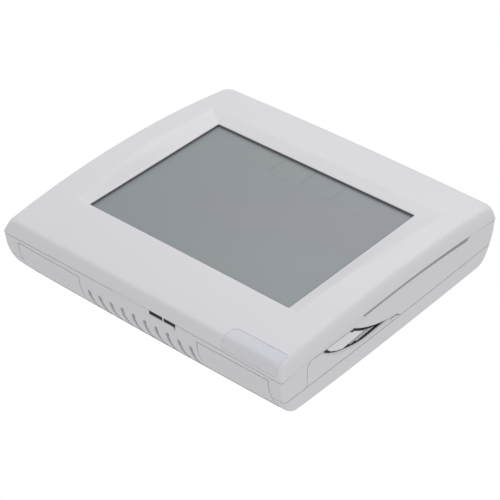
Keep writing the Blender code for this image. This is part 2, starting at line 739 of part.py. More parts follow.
def panel(name, half_w, half_h, depth, material):
    """A flat rectangular plate, centred on the display."""
    return boxes(name, [((-half_w, half_w), depth, (-half_h, half_h))], material)


def make_display():
    frame = panel("lcd_frame", FRAME_HALF_W, FRAME_HALF_H, FRAME_DEPTH, FRAME_BLACK)
    cut(frame, panel("frame_opening", GLASS_HALF_W + 0.4, GLASS_HALF_H + 0.4, (17.0, 26.0), None))
    panel("touch_panel", GLASS_HALF_W - 0.5, GLASS_HALF_H - 0.5, TOUCH_DEPTH, TOUCH)
    panel("lcd_glass", GLASS_HALF_W, GLASS_HALF_H, GLASS_DEPTH, LCD)
    boxes("light_guide", [LIGHT_GUIDE], GUIDE)
    for name, z in (("top", STRIP_Z), ("bottom", -STRIP_Z)):
        span = (STRIP_X[name], (BOARD_DEPTH[1] + GAP, 20.7), (z - 1.2, z + 1.2))
        boxes(f"strip_connector_{name}", [span], ELASTOMER)


def make_board():
    points = [place(x, BOARD_DEPTH[0], z) for x, z in BOARD_OUTLINE]
    board = extrude("main_board", points, place(0.0, BOARD_DEPTH[1] - BOARD_DEPTH[0], 0.0), BOARD_GREEN)
    cut(board, round_posts("board_screw_holes", 1.4, (14.0, 18.0), BOARD_SCREWS))
    cut(board, round_posts("board_boss_holes", BOSS_R + 1.0, (14.0, 18.0), CASE_SCREWS[:2]))


def screw(name, x, z, head_r, shank_r, head, tip):
    """A pan-head screw that points out from the wall."""
    bm = bmesh.new()
    post(bm, x, z, head_r, head, 12)
    obj = from_bmesh(bm, name, STEEL)
    bm = bmesh.new()
    post(bm, x, z, shank_r, (head[1] - 0.2, tip), 10)
    join(obj, from_bmesh(bm, f"{name}_shank", None))
    cross = [((x - 1.4, x + 1.4), (head[0] - 1.0, head[0] + 0.7), (z - 0.3, z + 0.3))]
    cut(obj, boxes(f"{name}_drive", cross))


def make_screws():
    for index, (x, z) in enumerate(BOARD_SCREWS, start=1):
        screw(f"board_screw_{index}", x, z, 2.3, 0.7, (13.2, BOARD_DEPTH[0] - 0.05), 19.0)
    for index, (x, z) in enumerate(CASE_SCREWS, start=1):
        screw(f"case_screw_{index}", x, z, 2.5, 0.9, (8.8, 10.1), 17.5)


def round_part(name, x, z, radius, back, material):
    """A round component that stands on the back of the board."""
    bm = bmesh.new()
    post(bm, x, z, radius, (back, CHIP_BACK), 20)
    return from_bmesh(bm, name, material)


def make_electronics():
    half_w, half_h = RELAY_SIZE[0] / 2.0, RELAY_SIZE[1] / 2.0
    for index, x in enumerate(RELAY_X, start=1):
        span = ((x - half_w, x + half_w), (TALL_BACK, CHIP_BACK), (RELAY_Z - half_h, RELAY_Z + half_h))
        boxes(f"relay_{index}", [span], RELAY_BLACK, 0.3)
    for index, (x, z) in enumerate(CAPACITORS, start=1):
        round_part(f"capacitor_{index}", x, z, CAPACITOR_R, TALL_BACK, CAN_ALU)
    round_part("sounder", *SOUNDER, RELAY_BLACK)
    boxes("processor", [((-7.0, 7.0), (13.2, CHIP_BACK), (-18.0, -4.0))], CHIP_BLACK, 0.2)
    boxes("radio_module", [((34.0, 52.0), (12.0, CHIP_BACK), (6.0, 24.0))], CAN_ALU, 0.3)
    boxes("climate_sensor", [((-12.0, -9.0), (13.4, CHIP_BACK), (-44.2, -41.2))], SENSOR_WHITE, 0.2)
    socket = (SOCKET_X, (BOARD_DEPTH[1] + GAP, 18.4), (-53.8, -44.2))
    boxes("card_socket", [socket], SPRING_STEEL, 0.15)


def make_contacts():
    """Spring contacts at the bay's end, and the strip that joins the cells at the drawer's face."""
    for name, z in zip(("minus", "plus"), CELL_Z):
        leaf = ((BAY_X0 + 0.5, BAY_X0 + 0.9), (9.6, 16.6), (z - 3.2, z + 3.2))
        contact = boxes(f"contact_{name}", [leaf], SPRING_STEEL)
        bm = bmesh.new()
        add_cylinder(bm, (BAY_X0 + 1.6, CELL_DEPTH, z), 2.0, 1.8, "X", 12)
        join(contact, from_bmesh(bm, f"contact_tip_{name}", None))
    boxes("battery_bridge", [bridge_span(0.0)], BRASS)


make_cover()
make_alert_light()
make_case()
make_drawer()
make_cells()
make_wallplate()
make_tabs()
make_terminals()
make_display()
make_board()
make_screws()
make_electronics()
make_contacts()
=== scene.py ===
"""Looks of the touchscreen wall thermostat: fine shells round the CAD frame, materials and studio.

Everything is in the CAD's frame: the wall is the plane Y = 0 and the front faces -Y. Sizes below are
in millimetres, and depth means the distance out from the wall, along -Y.
"""

import math

import bmesh
import bpy
from mathutils import Matrix, Quaternion, Vector


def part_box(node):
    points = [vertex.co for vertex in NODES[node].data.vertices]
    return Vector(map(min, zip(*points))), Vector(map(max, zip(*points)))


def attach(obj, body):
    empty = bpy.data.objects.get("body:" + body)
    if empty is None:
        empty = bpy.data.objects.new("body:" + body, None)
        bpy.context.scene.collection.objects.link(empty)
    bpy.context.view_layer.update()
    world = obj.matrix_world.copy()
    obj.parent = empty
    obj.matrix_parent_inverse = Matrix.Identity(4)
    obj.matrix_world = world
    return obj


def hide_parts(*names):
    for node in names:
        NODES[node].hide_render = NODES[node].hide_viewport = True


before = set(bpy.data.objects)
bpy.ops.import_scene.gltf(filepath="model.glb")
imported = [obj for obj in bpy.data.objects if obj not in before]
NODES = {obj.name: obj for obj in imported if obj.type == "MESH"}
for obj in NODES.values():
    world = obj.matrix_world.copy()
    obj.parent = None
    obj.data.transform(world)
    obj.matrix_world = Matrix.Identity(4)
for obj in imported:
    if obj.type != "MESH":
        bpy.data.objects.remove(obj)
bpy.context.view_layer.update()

MM = 0.001

# Outer shape, nearly as in the CAD: a rounded rectangle with bowed sides under an arched face.
HALF_W = 63.4
HALF_H = 59.0
BOW_W = 1.2
CASE_BOW_W = 0.4
BOW_H = 0.5
LEFT_REACH = 0.9  # how much further the left side reaches out at its ends
LOW_LEAN = 0.8  # how far the lower right corner leans in at the wall
CORNER_R = 0.8
CORNER_SOFT = (3.0, 6.0)  # what the wall adds to the corner radius, and the depth where that ends
FACE_DEPTH = 23.5
ARCH = 4.4
CROWN = 0.5
TAPER_H = 7.4
TAPER_CURVE = 2.1
TAPER_DEPTH = 18.0
TAPER_W = 0.3
BACK_EDGE_R = 3.0
BACK_EDGE_LOW_R = 0.8
TAIL_R = 3.0  # the rounded back end of the tabs and of the apron between them
COVER_SIDE = 5.3
SEAM_BOW = 0.7
WALL = 2.0
GAP = 0.3
EDGE_BREAK = 0.12  # the tiny chamfer of an edge that would be knife-sharp

# The cover's rounded edge: drop from the face, then the inset of the sides, the bottom and the top.
COVER_EDGE = (
    (4.8, 0.06, 0.04, 0.0), (3.8, 0.38, 0.3, 0.0), (2.6, 0.8, 0.65, 0.0), (1.5, 1.3, 1.05, 0.03),
    (0.82, 1.75, 1.4, 0.29), (0.35, 2.3, 1.85, 0.73), (0.07, 3.05, 2.5, 1.35), (0.0, 3.8, 3.2, 2.6),
)

# Window and the dish round it. A crease's softness is a width, plus more at the left and right.
WINDOW_HALF_W = 45.6
WINDOW_HALF_H = 34.2
WINDOW_DEPTH = 25.3
LEDGE_DEPTH = 24.75
LIP_R = 0.25
DISH_TOP = 40.2
DISH_BOTTOM = -35.6
DISH_TOP_W = 53.9
DISH_BOTTOM_W = 50.0
CREASE_W = 0.7
CREASE_SIDE_W = 1.8
DISPLAY_DEPTH = 24.3

# Rear case, drawer, tabs and wallplate.
CASE_BACK = 8.8
CASE_FLOOR = 10.1
CASE_SET_IN = 0.15
PLATE_RIM = 8.5
PLATE_FLOOR = 2.2
PLATE_LIP = 0.7
RIM_WALL = 1.9
TAB_X = (-41.9, 42.5)
TAB_HALF = 15.0
TAB_TOP = 16.75
TAB_THICK = 2.0
TAB_BACK = 1.7
TAB_TRAVEL = 1.3
VENT_COUNT = 10
VENT_PITCH = 5.2
VENT_W = 1.6
VENT_BACK = 0.9
VENT_TOP = 13.0
VENT_X = 0.6
SLOT_X = (5.7, 18.0)
SLOT_DEPTH = (17.1, 19.6)
SLOT_RIB = (11.75, 12.2)
BAY_X0 = 12.0
BAY_Z = (-44.5, -21.6)
BAY_DEPTH = (8.7, 18.95)
DRAWER_LOW_Z = -46.2
DRAWER_FACE_X = 60.9
DRAWER_CORNER_R = 2.4

# Planes for the cutters: below everything, just above the bottom side, well inside the case, and
# outside the right side.
BELOW_Z = -62.0
BOTTOM_SIDE_Z = -50.0
INSIDE_Z = -46.0
OUTSIDE_X = 70.0

# Points round a fine ring: along the top and bottom, along the left and right sides, in a corner.
RING_SIDES = (100, 56)
RING_ARC = 8
QUARTER = math.radians(90.0)
SHARP_ANGLE = math.radians(32.0)
SHELL_SHARP_ANGLE = math.radians(40.0)


# ---------- mesh helpers

def place(x, depth, z):
    """A point in metres from millimetres and a depth."""
    return Vector((x, -depth, z)) * MM


def smoothstep(value):
    value = min(max(value, 0.0), 1.0)
    return value * value * (3.0 - 2.0 * value)


def add_object(name, data):
    obj = bpy.data.objects.new(name, data)
    bpy.context.scene.collection.objects.link(obj)
    return obj


def new_object(name, bm):
    bmesh.ops.recalc_face_normals(bm, faces=bm.faces)
    mesh = bpy.data.meshes.new(name)
    bm.to_mesh(mesh)
    bm.free()
    return add_object(name, mesh)


def shade(obj, angle=SHARP_ANGLE):
    obj.data.shade_smooth()
    obj.data.set_sharp_from_angle(angle=angle)
    return obj


def carve(obj, cutters=(), joins=(), keep=None):
    """Cut, join or intersect an object, then store the result in its mesh."""
    steps = [(other, "UNION") for other in joins] + [(other, "DIFFERENCE") for other in cutters]
    if keep:
        steps.insert(0, (keep, "INTERSECT"))
    for other, operation in steps:
        modifier = obj.modifiers.new(other.name, "BOOLEAN")
        modifier.operation = operation
        modifier.object = other
    graph = bpy.context.evaluated_depsgraph_get()
    mesh = bpy.data.meshes.new_from_object(obj.evaluated_get(graph))
    obj.modifiers.clear()
    obj.data = mesh
    for other, _ in steps:
        bpy.data.objects.remove(other, do_unlink=True)
    return obj


def node_spans(name):
    """How far a CAD node reaches, as (x, depth, z) spans in millimetres."""
    low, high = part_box(name)
    return (low.x / MM, high.x / MM), (-high.y / MM, -low.y / MM), (low.z / MM, high.z / MM)


def grown(span, margin):
    return span[0] - margin, span[1] + margin


def middle(span):
    return (span[0] + span[1]) / 2.0


def add_loft(bm, rings, closed=False):
    """Quads between rings: closed on itself, or with a flat cap at each end."""
    rows = [[bm.verts.new(point) for point in points] for points in rings]
    pairs = list(zip(rows, rows[1:]))
    if closed:
        pairs.append((rows[-1], rows[0]))
    else:
        bm.faces.new(rows[0])
        bm.faces.new(rows[-1])
    for low, high in pairs:
        for index in range(len(low)):
            after = (index + 1) % len(low)
            bm.faces.new((low[index], low[after], high[after], high[index]))


def loft(name, rings, closed=False):
    bm = bmesh.new()
    add_loft(bm, rings, closed)
    return new_object(name, bm)


def block(name, spans):
    """One object of boxes, each given as (x, depth, z) spans in millimetres."""
    bm = bmesh.new()
    for x, depth, z in spans:
        center = place(middle(x), middle(depth), middle(z))
        size = Vector((x[1] - x[0], depth[1] - depth[0], z[1] - z[0])) * MM
        matrix = Matrix.Translation(center) @ Matrix.Diagonal((*size, 1.0))
        bmesh.ops.create_cube(bm, size=1.0, matrix=matrix)
    return new_object(name, bm)


def side_outline(points, x):
    """A ring in a plane across X, from (z, depth) points."""
    return [place(x, depth, z) for z, depth in points]


def side_prism(name, points, x):
    """An outline of (z, depth) points drawn out along X."""
    return loft(name, [side_outline(points, level) for level in x])


def rod(name, center, radius, length, axis="Y", segments=48):
    """A round bar along X or Y, in millimetres."""
    turn = Matrix.Rotation(QUARTER, 4, "X" if axis == "Y" else "Y")
    bm = bmesh.new()
    bmesh.ops.create_cone(bm, cap_ends=True, segments=segments, radius1=radius * MM,
                          radius2=radius * MM, depth=length * MM,
                          matrix=Matrix.Translation(place(*center)) @ turn)
    return new_object(name, bm)


def arc(center, radius, start, steps, turns=1.0):
    """Points along an arc. It starts at start quarter turns and goes on for turns more."""
    angles = [QUARTER * (start + turns * step / steps) for step in range(steps + 1)]
    return [Vector(center) + radius * Vector((math.cos(angle), math.sin(angle))) for angle in angles]


def smooth_curve(points, steps=6):
    """A curve through points, as a denser list (Catmull-Rom)."""
    points = [Vector(point) for point in points]
    padded = [2.0 * points[0] - points[1], *points, 2.0 * points[-1] - points[-2]]
    dense = []
    for before, start, end, after in zip(padded, padded[1:], padded[2:], padded[3:]):
        for step in range(steps):
            t = step / steps
            dense.append(0.5 * (2.0 * start + (end - before) * t
                                + (2.0 * before - 5.0 * start + 4.0 * end - after) * t * t
                                + (3.0 * start - before - 3.0 * end + after) * t ** 3))
    return [*dense, points[-1]]


# ---------- the body's shape

def face_depth(x, z):
    return FACE_DEPTH + ARCH * (1.0 - (z / HALF_H) ** 2) + CROWN * (1.0 - (x / HALF_W) ** 2)


def cover_side(x):
    """Height of the cover's side: a little less halfway along the bottom and the top."""
    return COVER_SIDE - SEAM_BOW * (1.0 - (x / HALF_W) ** 2)


def seam_depth(x, z):
    return face_depth(x, z) - cover_side(x)


def edge_cut(radius, depth):
    """How far a rounded edge at the wall is set in at a depth."""
    rise = max(radius - depth, 0.0)
    return radius - math.sqrt(radius ** 2 - rise ** 2)


def taper_w(depth):
    """How far the left and right sides are set in at a depth."""
    return TAPER_W * max(0.0, 1.0 - depth / TAPER_DEPTH) + edge_cut(BACK_EDGE_R, depth)


def curl(depth):
    return TAPER_H * max(0.0, 1.0 - depth / TAPER_DEPTH) ** TAPER_CURVE


def taper_h(depth):
    """How far the top and bottom sides are set in at a depth: they curl in towards the wall."""
    return curl(depth) + edge_cut(BACK_EDGE_LOW_R, depth)


def corner_radius(depth):
    """The upright corners grow rounder close to the wall."""
    return CORNER_R + CORNER_SOFT[0] * max(0.0, 1.0 - depth / CORNER_SOFT[1]) ** 2


def bottom_z(x, depth):
    """The bottom side's surface, with the rounder tail of the tabs and the vent comb."""
    half = HALF_H - CASE_SET_IN - curl(depth) - edge_cut(TAIL_R, depth)
    return -half * (1.0 + BOW_H / HALF_H * (1.0 - (x / HALF_W) ** 2))


def rounded_rect(half_w, half_h, radius):
    """Points round a rounded rectangle, the same number for any size."""
    w, h = half_w - radius, half_h - radius
    arcs = [arc(center, radius, index, RING_ARC)
            for index, center in enumerate(((w, h), (-w, h), (-w, -h), (w, -h)))]
    points = []
    for index, corner in enumerate(arcs):
        end = arcs[(index + 1) % 4][0]
        count = RING_SIDES[index % 2]
        points += corner + [corner[-1].lerp(end, step / count) for step in range(1, count)]
    return points


def bowed(point, bow_w=BOW_W):
    """Bow the sides; the left side reaches out a little more towards its ends."""
    x, z = point
    reach = LEFT_REACH * min(x / HALF_W, 0.0) ** 2 * (z / HALF_H) ** 2
    return Vector((x * (1.0 + bow_w / HALF_W * (1.0 - (z / HALF_H) ** 2)) - reach,
                   z * (1.0 + BOW_H / HALF_H * (1.0 - (x / HALF_W) ** 2))))


def raised(points, depth):
    if callable(depth):
        return [place(x, depth(x, z), z) for x, z in points]
    return [place(x, depth, z) for x, z in points]


def outline(inset, radius=None, inset_z=None, bow_w=BOW_W, inset_top=None):
    """The body's outline, set in, as (x, z) points."""
    half_w = HALF_W - inset
    half_h = HALF_H - (inset if inset_z is None else inset_z)
    corner = max(CORNER_R - inset, 0.8) if radius is None else radius
    stretch = 1.0 if inset_top is None else (HALF_H - inset_top) / half_h
    return [bowed(Vector((x, z * (stretch if z > 0.0 else 1.0))), bow_w)
            for x, z in rounded_rect(half_w, half_h, corner)]


def ring(inset, depth, radius=None, inset_z=None, bow_w=BOW_W):
    return raised(outline(inset, radius, inset_z, bow_w), depth)


def side_ring(depth, wall=0.0):
    """A ring of the body's side at one depth, set in by a wall thickness."""
    points = ring(CASE_SET_IN + taper_w(depth) + wall, depth, max(corner_radius(depth) - wall, 1.0),
                  CASE_SET_IN + taper_h(depth) + wall, CASE_BOW_W)
    lean = LOW_LEAN * max(0.0, 1.0 - depth / PLATE_RIM)
    for point in points:
        share = max(point.x / MM / HALF_W, 0.0) ** 2 * max(-point.z / MM / HALF_H, 0.0) ** 3
        point.x -= lean * share * MM
    return points


def end_ring(depth):
    """The last ring of a side: its sharp edge is broken."""
    return ring(CASE_SET_IN + taper_w(depth) + EDGE_BREAK, depth, None,
                CASE_SET_IN + taper_h(depth) + EDGE_BREAK, CASE_BOW_W)


def window_outline(grow=0.0, radius=0.5):
    return rounded_rect(WINDOW_HALF_W + grow, WINDOW_HALF_H + grow, radius)


def dish_outline():
    """The dish's edge: wider at the top than at the bottom."""
    center_z = (DISH_TOP + DISH_BOTTOM) / 2.0
    half_h = (DISH_TOP - DISH_BOTTOM) / 2.0
    points = []
    for x, z in rounded_rect(1.0, half_h, 0.02):
        share = (z + half_h) / (2.0 * half_h)
        width = DISH_BOTTOM_W + (DISH_TOP_W - DISH_BOTTOM_W) * share
        points.append(Vector((x * width, z + center_z)))
    return points


def at_face(drop):
    return lambda x, z: face_depth(x, z) - drop


def on_side(drop):
    """A depth function: down the cover's side, where the full drop is at the seam."""
    return lambda x, z: face_depth(x, z) - drop * cover_side(x) / COVER_SIDE


def at_seam(rise):
    return lambda x, z: seam_depth(x, z) + rise


# ---------- front cover

def edge_outline(side, low, top):
    return outline(side, CORNER_R + 0.9 * side, low, inset_top=top)


def edge_rings():
    """The soft edge between the cover's side and its face."""
    rings = []
    for drop, side, low, top in smooth_curve(COVER_EDGE, 4):
        rings.append(raised(edge_outline(side, low, max(top, 0.0)), on_side(max(drop, 0.0))))
    return rings


def face_rings():
    """From the soft edge over the face, round the dish's crease and down to the window's lip."""
    edge = edge_outline(*COVER_EDGE[-1][1:])
    dish = dish_outline()
    window = window_outline(LIP_R)
    flats, fillets, slopes = [], [], []
    for near, crease, inner in zip(edge, dish, window):
        outward = (near - crease).normalized()
        width = CREASE_W + CREASE_SIDE_W * abs(outward.x) ** 4
        start = crease + outward * width
        flats.append([near.lerp(start, step / 10.0) for step in range(1, 11)])
        top = place(crease.x, face_depth(*crease), crease.y)
        lip = place(inner.x, WINDOW_DEPTH, inner.y)
        first = place(start.x, face_depth(*start), start.y)
        last = top + (lip - top).normalized() * width * MM
        bend = []
        for step in range(1, 6):
            t = step / 5.0
            bend.append(first * (1.0 - t) ** 2 + top * 2.0 * t * (1.0 - t) + last * t * t)
        fillets.append(bend)
        slopes.append([last.lerp(lip, step / 4.0) for step in range(1, 5)])
    rings = [raised(points, at_face(0.0)) for points in zip(*flats)]
    rings += [list(points) for points in zip(*fillets)]
    rings += [list(points) for points in zip(*slopes)]
    return rings


def lip_rings():
    rings = []
    for step in range(1, 5):
        angle = QUARTER * step / 4.0
        grow = LIP_R * (1.0 - math.sin(angle))
        rings.append(raised(window_outline(grow), WINDOW_DEPTH - LIP_R * (1.0 - math.cos(angle))))
    rings.append(raised(window_outline(), LEDGE_DEPTH))
    return rings


def cover_rings(sink=0.0):
    """Rings of the whole cover, or of one set in by a little for the alert light window."""
    frame_x, _, frame_z = node_spans("lcd_frame")
    rings = [ring(0.4, at_seam(0.0)), ring(0.15, at_seam(0.08)), ring(0.03, at_seam(0.22)),
             ring(0.0, at_seam(0.4))]
    rings += edge_rings() + face_rings() + lip_rings()
    ledge = rounded_rect(frame_x[1] + 1.2, frame_z[1] + 1.0, 0.8)
    rings += [raised(ledge, LEDGE_DEPTH), ring(7.5, at_face(WALL)), ring(3.6, at_face(WALL + 1.0)),
              ring(WALL + 0.35, at_seam(0.0))]
    if sink:
        rings = [[point + Vector((0.0, sink, sink)) * MM for point in points] for points in rings]
    return rings


# The alert light window, drawn on a plane that faces down and out at 45 degrees.
LENS_X = (38.0, 60.7)
LENS_ALONG = (-27.7, -19.62)
LENS_CORNER_R = 2.6
LENS_SMALL_R = 0.9
LENS_OUT = (50.0, 60.0)
LENS_GAP = 0.03


def lens_outline(shrink):
    """A rectangle with one well rounded corner, as (x, along) points."""
    low_x, high_x = LENS_X[0] + shrink, LENS_X[1] - shrink
    low, high = LENS_ALONG[0] + shrink, LENS_ALONG[1] - shrink
    small, large = LENS_SMALL_R, LENS_CORNER_R
    return (arc((high_x - small, high - small), small, 0, 8) + arc((low_x + large, high - large), large, 1, 8)
            + arc((low_x + small, low + small), small, 2, 8)
            + arc((high_x - small, low + small), small, 3, 8))


def lens_prism(name, shrink):
    """The window's outline drawn out at 45 degrees, from inside the cover to outside it."""
    return loft(name, [[place(x, (along + out) / math.sqrt(2.0), (along - out) / math.sqrt(2.0))
                        for x, along in lens_outline(shrink)] for out in LENS_OUT])


def make_cover():
    cover = loft("cover_shell", cover_rings(), closed=True)
    carve(cover, cutters=[lens_prism("lens_opening", 0.0)])
    shade(cover, SHELL_SHARP_ANGLE)
    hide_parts("front_cover")
    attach(cover, "head")
    lens = loft("alert_lens", cover_rings(0.02), closed=True)
    carve(lens, keep=lens_prism("lens_blank", LENS_GAP))
    shade(lens, SHELL_SHARP_ANGLE)
    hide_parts("alert_light_window")
    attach(lens, "head")
    return cover, lens


# ---------- rear case

# The finger scoop's two curved edges, as (z, depth).
SCOOP_LEFT = ((-38.3, 18.6), (-36.9, 17.2), (-34.7, 15.6), (-31.5, 14.0), (-28.3, 12.9),
              (-24.0, 11.6), (-19.7, 10.6), (-15.4, 10.2), (-9.0, 10.45), (-4.0, 10.55))
SCOOP_RIGHT = ((-22.6, 18.95), (-21.3, 17.5), (-18.2, 15.6), (-13.6, 13.6), (-9.0, 12.1),
               (-4.5, 11.0), (-1.0, 10.3), (1.0, 9.95))
# The seam under the cover: deep along the right side, closed for a stretch at the bottom.
DEEP_SEAM_Z = (-17.6, 42.0)
DEEP_SEAM = 1.8
SEAM_SHELF = 1.6
# The grey painted shadow strip's section, as (distance from the side, distance from the seam).
SEAM_SHADOW_STRIP = ((-1.5, -2.5), (-0.5, -2.2), (-0.35, -1.6), (-0.5, 0.2), (-1.5, 0.4))
SMOOTH_SEAM_X = (-11.5, 4.5)
RECESS_X = (-11.4, 17.9)
RECESS_DEPTH = 11.9
RECESS = 0.55
CASE_LEVELS = (9.2, 10.0, 11.0, 11.6, 12.2, 12.8, 13.4, 14.0, 14.8, 15.6, 16.4, 17.2)
BAY_WALL = 1.3
TERMINAL_GAP = 0.7
FLOOR_CUT = (7.0, 11.0)
APRON_TOP = 10.55
# Keeps the apron's face off the case's own side.
APRON_LIFT = 0.015
CATCH_X = 36.0
SCREW_SINK_R = 2.9
# X of the drawer opening's chamfer, from inside the case's side to outside it.
CHAMFER_X = (62.35, 63.75)


def between(value, span, soft):
    """1 inside a span, 0 outside, with soft ends."""
    return smoothstep((value - span[0]) / soft) * smoothstep((span[1] - value) / soft)


def with_recess(points):
    """The shallow hollow in the bottom side below the card slot."""
    moved = []
    for point in points:
        x, depth, z = point.x / MM, -point.y / MM, point.z / MM
        if z < BOTTOM_SIDE_Z:
            span = between(x, RECESS_X, 1.2)
            top = seam_depth(x, z) - GAP
            rise = smoothstep((depth - RECESS_DEPTH) / 1.8)
            flush = smoothstep((top - depth) / 1.6) if x < SMOOTH_SEAM_X[1] else 1.0
            point = point + Vector((0.0, 0.0, RECESS * span * rise * flush)) * MM
        moved.append(point)
    return moved


def case_top(x, z):
    """The case's edge under the cover: closed for a stretch at the bottom."""
    gap = GAP
    if z < 0.0:
        gap -= (GAP - 0.03) * between(x, SMOOTH_SEAM_X, 1.5)
    return seam_depth(x, z) - gap


def deep_top(x, z):
    """The same edge, lower where the seam on the right side is deep."""
    low = DEEP_SEAM * between(z, DEEP_SEAM_Z, 0.8) if x > 0.0 else 0.0
    return case_top(x, z) - low


def case_ring(inset, depth):
    return ring(CASE_SET_IN + inset, depth, bow_w=CASE_BOW_W)


def drawer_outline(shrink, lift=0.0):
    """Outline of the drawer's face in (z, depth); lift moves its curved right edge out."""
    low, high = DRAWER_LOW_Z + shrink, BAY_DEPTH[1] - shrink
    back = PLATE_RIM - 0.1 + shrink * 2.0
    corner = [Vector((low + DRAWER_CORNER_R * (1.0 - math.cos(angle)),
                      high - DRAWER_CORNER_R * (1.0 - math.sin(angle))))
              for angle in (QUARTER * step / 6.0 for step in range(7))]
    right = [Vector((z - shrink + lift, min(depth + lift * 0.8, high)))
             for z, depth in smooth_curve(SCOOP_RIGHT)]
    end = Vector((SCOOP_RIGHT[-1][0] + 2.6 - shrink + lift, back))
    return [Vector((low, back)), *corner, *right, end]


def vent_slots():
    """Ten slots with round tops, from the wall up the bottom side."""
    first = VENT_X - VENT_PITCH * (VENT_COUNT - 1) / 2.0
    half = VENT_W / 2.0
    cutters = []
    for index in range(VENT_COUNT):
        x = first + index * VENT_PITCH
        shape = [(x + half, VENT_BACK), *arc((x, VENT_TOP - half), half, 0, 10, 2.0),
                 (x - half, VENT_BACK)]
        rings = [[place(across, depth, z) for across, depth in shape] for z in (BELOW_Z, INSIDE_Z)]
        cutters.append(loft(f"vent_{index + 1}", rings))
    return cutters


def border(grid):
    """What lies round the edge of a grid, in order."""
    return (grid[0] + [line[-1] for line in grid[1:]] + grid[-1][-2::-1]
            + [line[0] for line in grid[-2:0:-1]])


def bottom_plate(name, x, depth, thickness, lift=0.0, columns=40, rows=24, shape=lambda *_: 0.0):
    """A curved plate along the bottom side; shape(x, depth) moves its face."""
    across = [x[0] + (x[1] - x[0]) * column / columns for column in range(columns + 1)]
    levels = [depth[0] + (depth[1] - depth[0]) * row / rows for row in range(rows + 1)]
    bm = bmesh.new()

    def grid_at(height):
        return [[bm.verts.new(place(at, level, bottom_z(at, level) + lift + height(at, level)))
                 for at in across] for level in levels]

    front, back = grid_at(shape), grid_at(lambda at, level: thickness)
    for grid in (front, back):
        for low, high in zip(grid, grid[1:]):
            for index in range(columns):
                bm.faces.new((low[index], low[index + 1], high[index + 1], high[index]))
    rim, far = border(front), border(back)
    for index in range(len(rim)):
        after = (index + 1) % len(rim)
        bm.faces.new((rim[index], rim[after], far[after], far[index]))
    return new_object(name, bm)


def bottom_parts():
    """The apron between the tabs, the tabs' seats and the notches that free the tabs."""
    apron_x = (TAB_X[0] + TAB_HALF + GAP, TAB_X[1] - TAB_HALF - GAP)
    solids = [bottom_plate("apron", apron_x, (TAB_BACK, APRON_TOP), WALL, APRON_LIFT, rows=17)]
    notches = []
    for center in TAB_X:
        x = (center - TAB_HALF, center + TAB_HALF)
        solids.append(bottom_plate("tab_seat", grown(x, 1.5), (CASE_BACK, TAB_TOP + 1.2), 2.5,
                                   TAB_THICK, 12, 10))
        notches.append(bottom_plate("tab_notch", grown(x, GAP), (4.0, TAB_TOP + GAP),
                                    TAB_THICK + TAB_TRAVEL + 3.0, -3.0, 12, 12))
    return solids, notches


def floor_windows():
    """Openings in the case's floor, for the terminal blocks and the wallplate's catches."""
    windows = []
    for name, catch in (("terminal_block_left", -CATCH_X), ("terminal_block_right", CATCH_X)):
        x, _, z = node_spans(name)
        windows.append((grown(x, TERMINAL_GAP), FLOOR_CUT, grown(z, TERMINAL_GAP)))
        windows.append(((catch - 4.0, catch + 4.0), FLOOR_CUT, (47.2, 50.4)))
    return block("floor_windows", windows)


def card_slot():
    """The slot in two parts, and the nick beside it."""
    z = (BELOW_Z, BOTTOM_SIDE_Z)
    return block("card_slot", [((SLOT_X[0], SLOT_RIB[0]), SLOT_DEPTH, z),
                               ((SLOT_RIB[1], SLOT_X[1]), SLOT_DEPTH, z),
                               ((SLOT_X[1] - 0.7, SLOT_X[1]), (16.6, 17.05), (BELOW_Z, -57.0))])


def screw_sinks():
    sinks = []
    for index in range(1, 5):
        x, _, z = node_spans(f"case_screw_{index}")
        sinks.append(rod("screw_sink", (middle(x), 8.7, middle(z)), SCREW_SINK_R, 3.4))
    return sinks


def make_case():
    rings = [end_ring(CASE_BACK)]
    rings += [with_recess(side_ring(level)) for level in (CASE_BACK + EDGE_BREAK, *CASE_LEVELS)]
    rings.append(with_recess(case_ring(0.0, lambda x, z: deep_top(x, z) - EDGE_BREAK)))
    rings.append(with_recess(case_ring(EDGE_BREAK, deep_top)))
    rings += [case_ring(SEAM_SHELF, deep_top), case_ring(SEAM_SHELF + 0.05, case_top),
              case_ring(WALL, case_top)]
    rings += [side_ring(level, WALL) for level in (15.5, 13.0, CASE_FLOOR)]
    case = loft("case_shell", rings)

    solids, notches = bottom_parts()
    walls = block("bay_walls", [((BAY_X0 - 1.2, 58.5), (CASE_FLOOR - 0.5, 16.0), z) for z in
                                ((BAY_Z[0] - BAY_WALL, BAY_Z[0]), (BAY_Z[1], BAY_Z[1] + BAY_WALL))])
    carve(case, joins=[*solids, walls], cutters=notches)
    bay = block("bay", [((BAY_X0, 58.6), BAY_DEPTH, BAY_Z)])
    opening = side_prism("drawer_opening", drawer_outline(0.0), (58.0, OUTSIDE_X))
    carve(case, cutters=[floor_windows(), card_slot(), bay, opening, *vent_slots(), *screw_sinks()])
    chamfer = loft("chamfer", [side_outline(drawer_outline(0.0), CHAMFER_X[0]),
                               side_outline(drawer_outline(0.0, 0.75), CHAMFER_X[1])])
    carve(case, cutters=[chamfer])
    shade(case)
    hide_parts("rear_case")
    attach(case, "head")
    return case


def make_seam_shadow_strip():
    """A soft grey strip of painted shadow at the back of the deep seam on the right side."""
    steps = 60
    rings = []
    for step in range(steps + 1):
        z = DEEP_SEAM_Z[0] + 0.5 + (DEEP_SEAM_Z[1] - DEEP_SEAM_Z[0] - 1.0) * step / steps
        side = bowed((HALF_W - CASE_SET_IN, z), CASE_BOW_W).x
        top = seam_depth(side, z)
        rings.append([place(side + x, top + depth, z) for x, depth in SEAM_SHADOW_STRIP])
    strip = shade(loft("seam_shadow_strip", rings))
    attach(strip, "head")
    return strip


def make_slot_shadow():
    """A black plate of painted shadow just inside the card slot, so the slot looks deep and dark."""
    lip = shade(bottom_plate("card_slot_shadow", grown(SLOT_X, 0.3), (16.3, 19.2), 0.6, 0.85, 24, 6))
    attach(lip, "head")
    return lip


# ---------- battery drawer

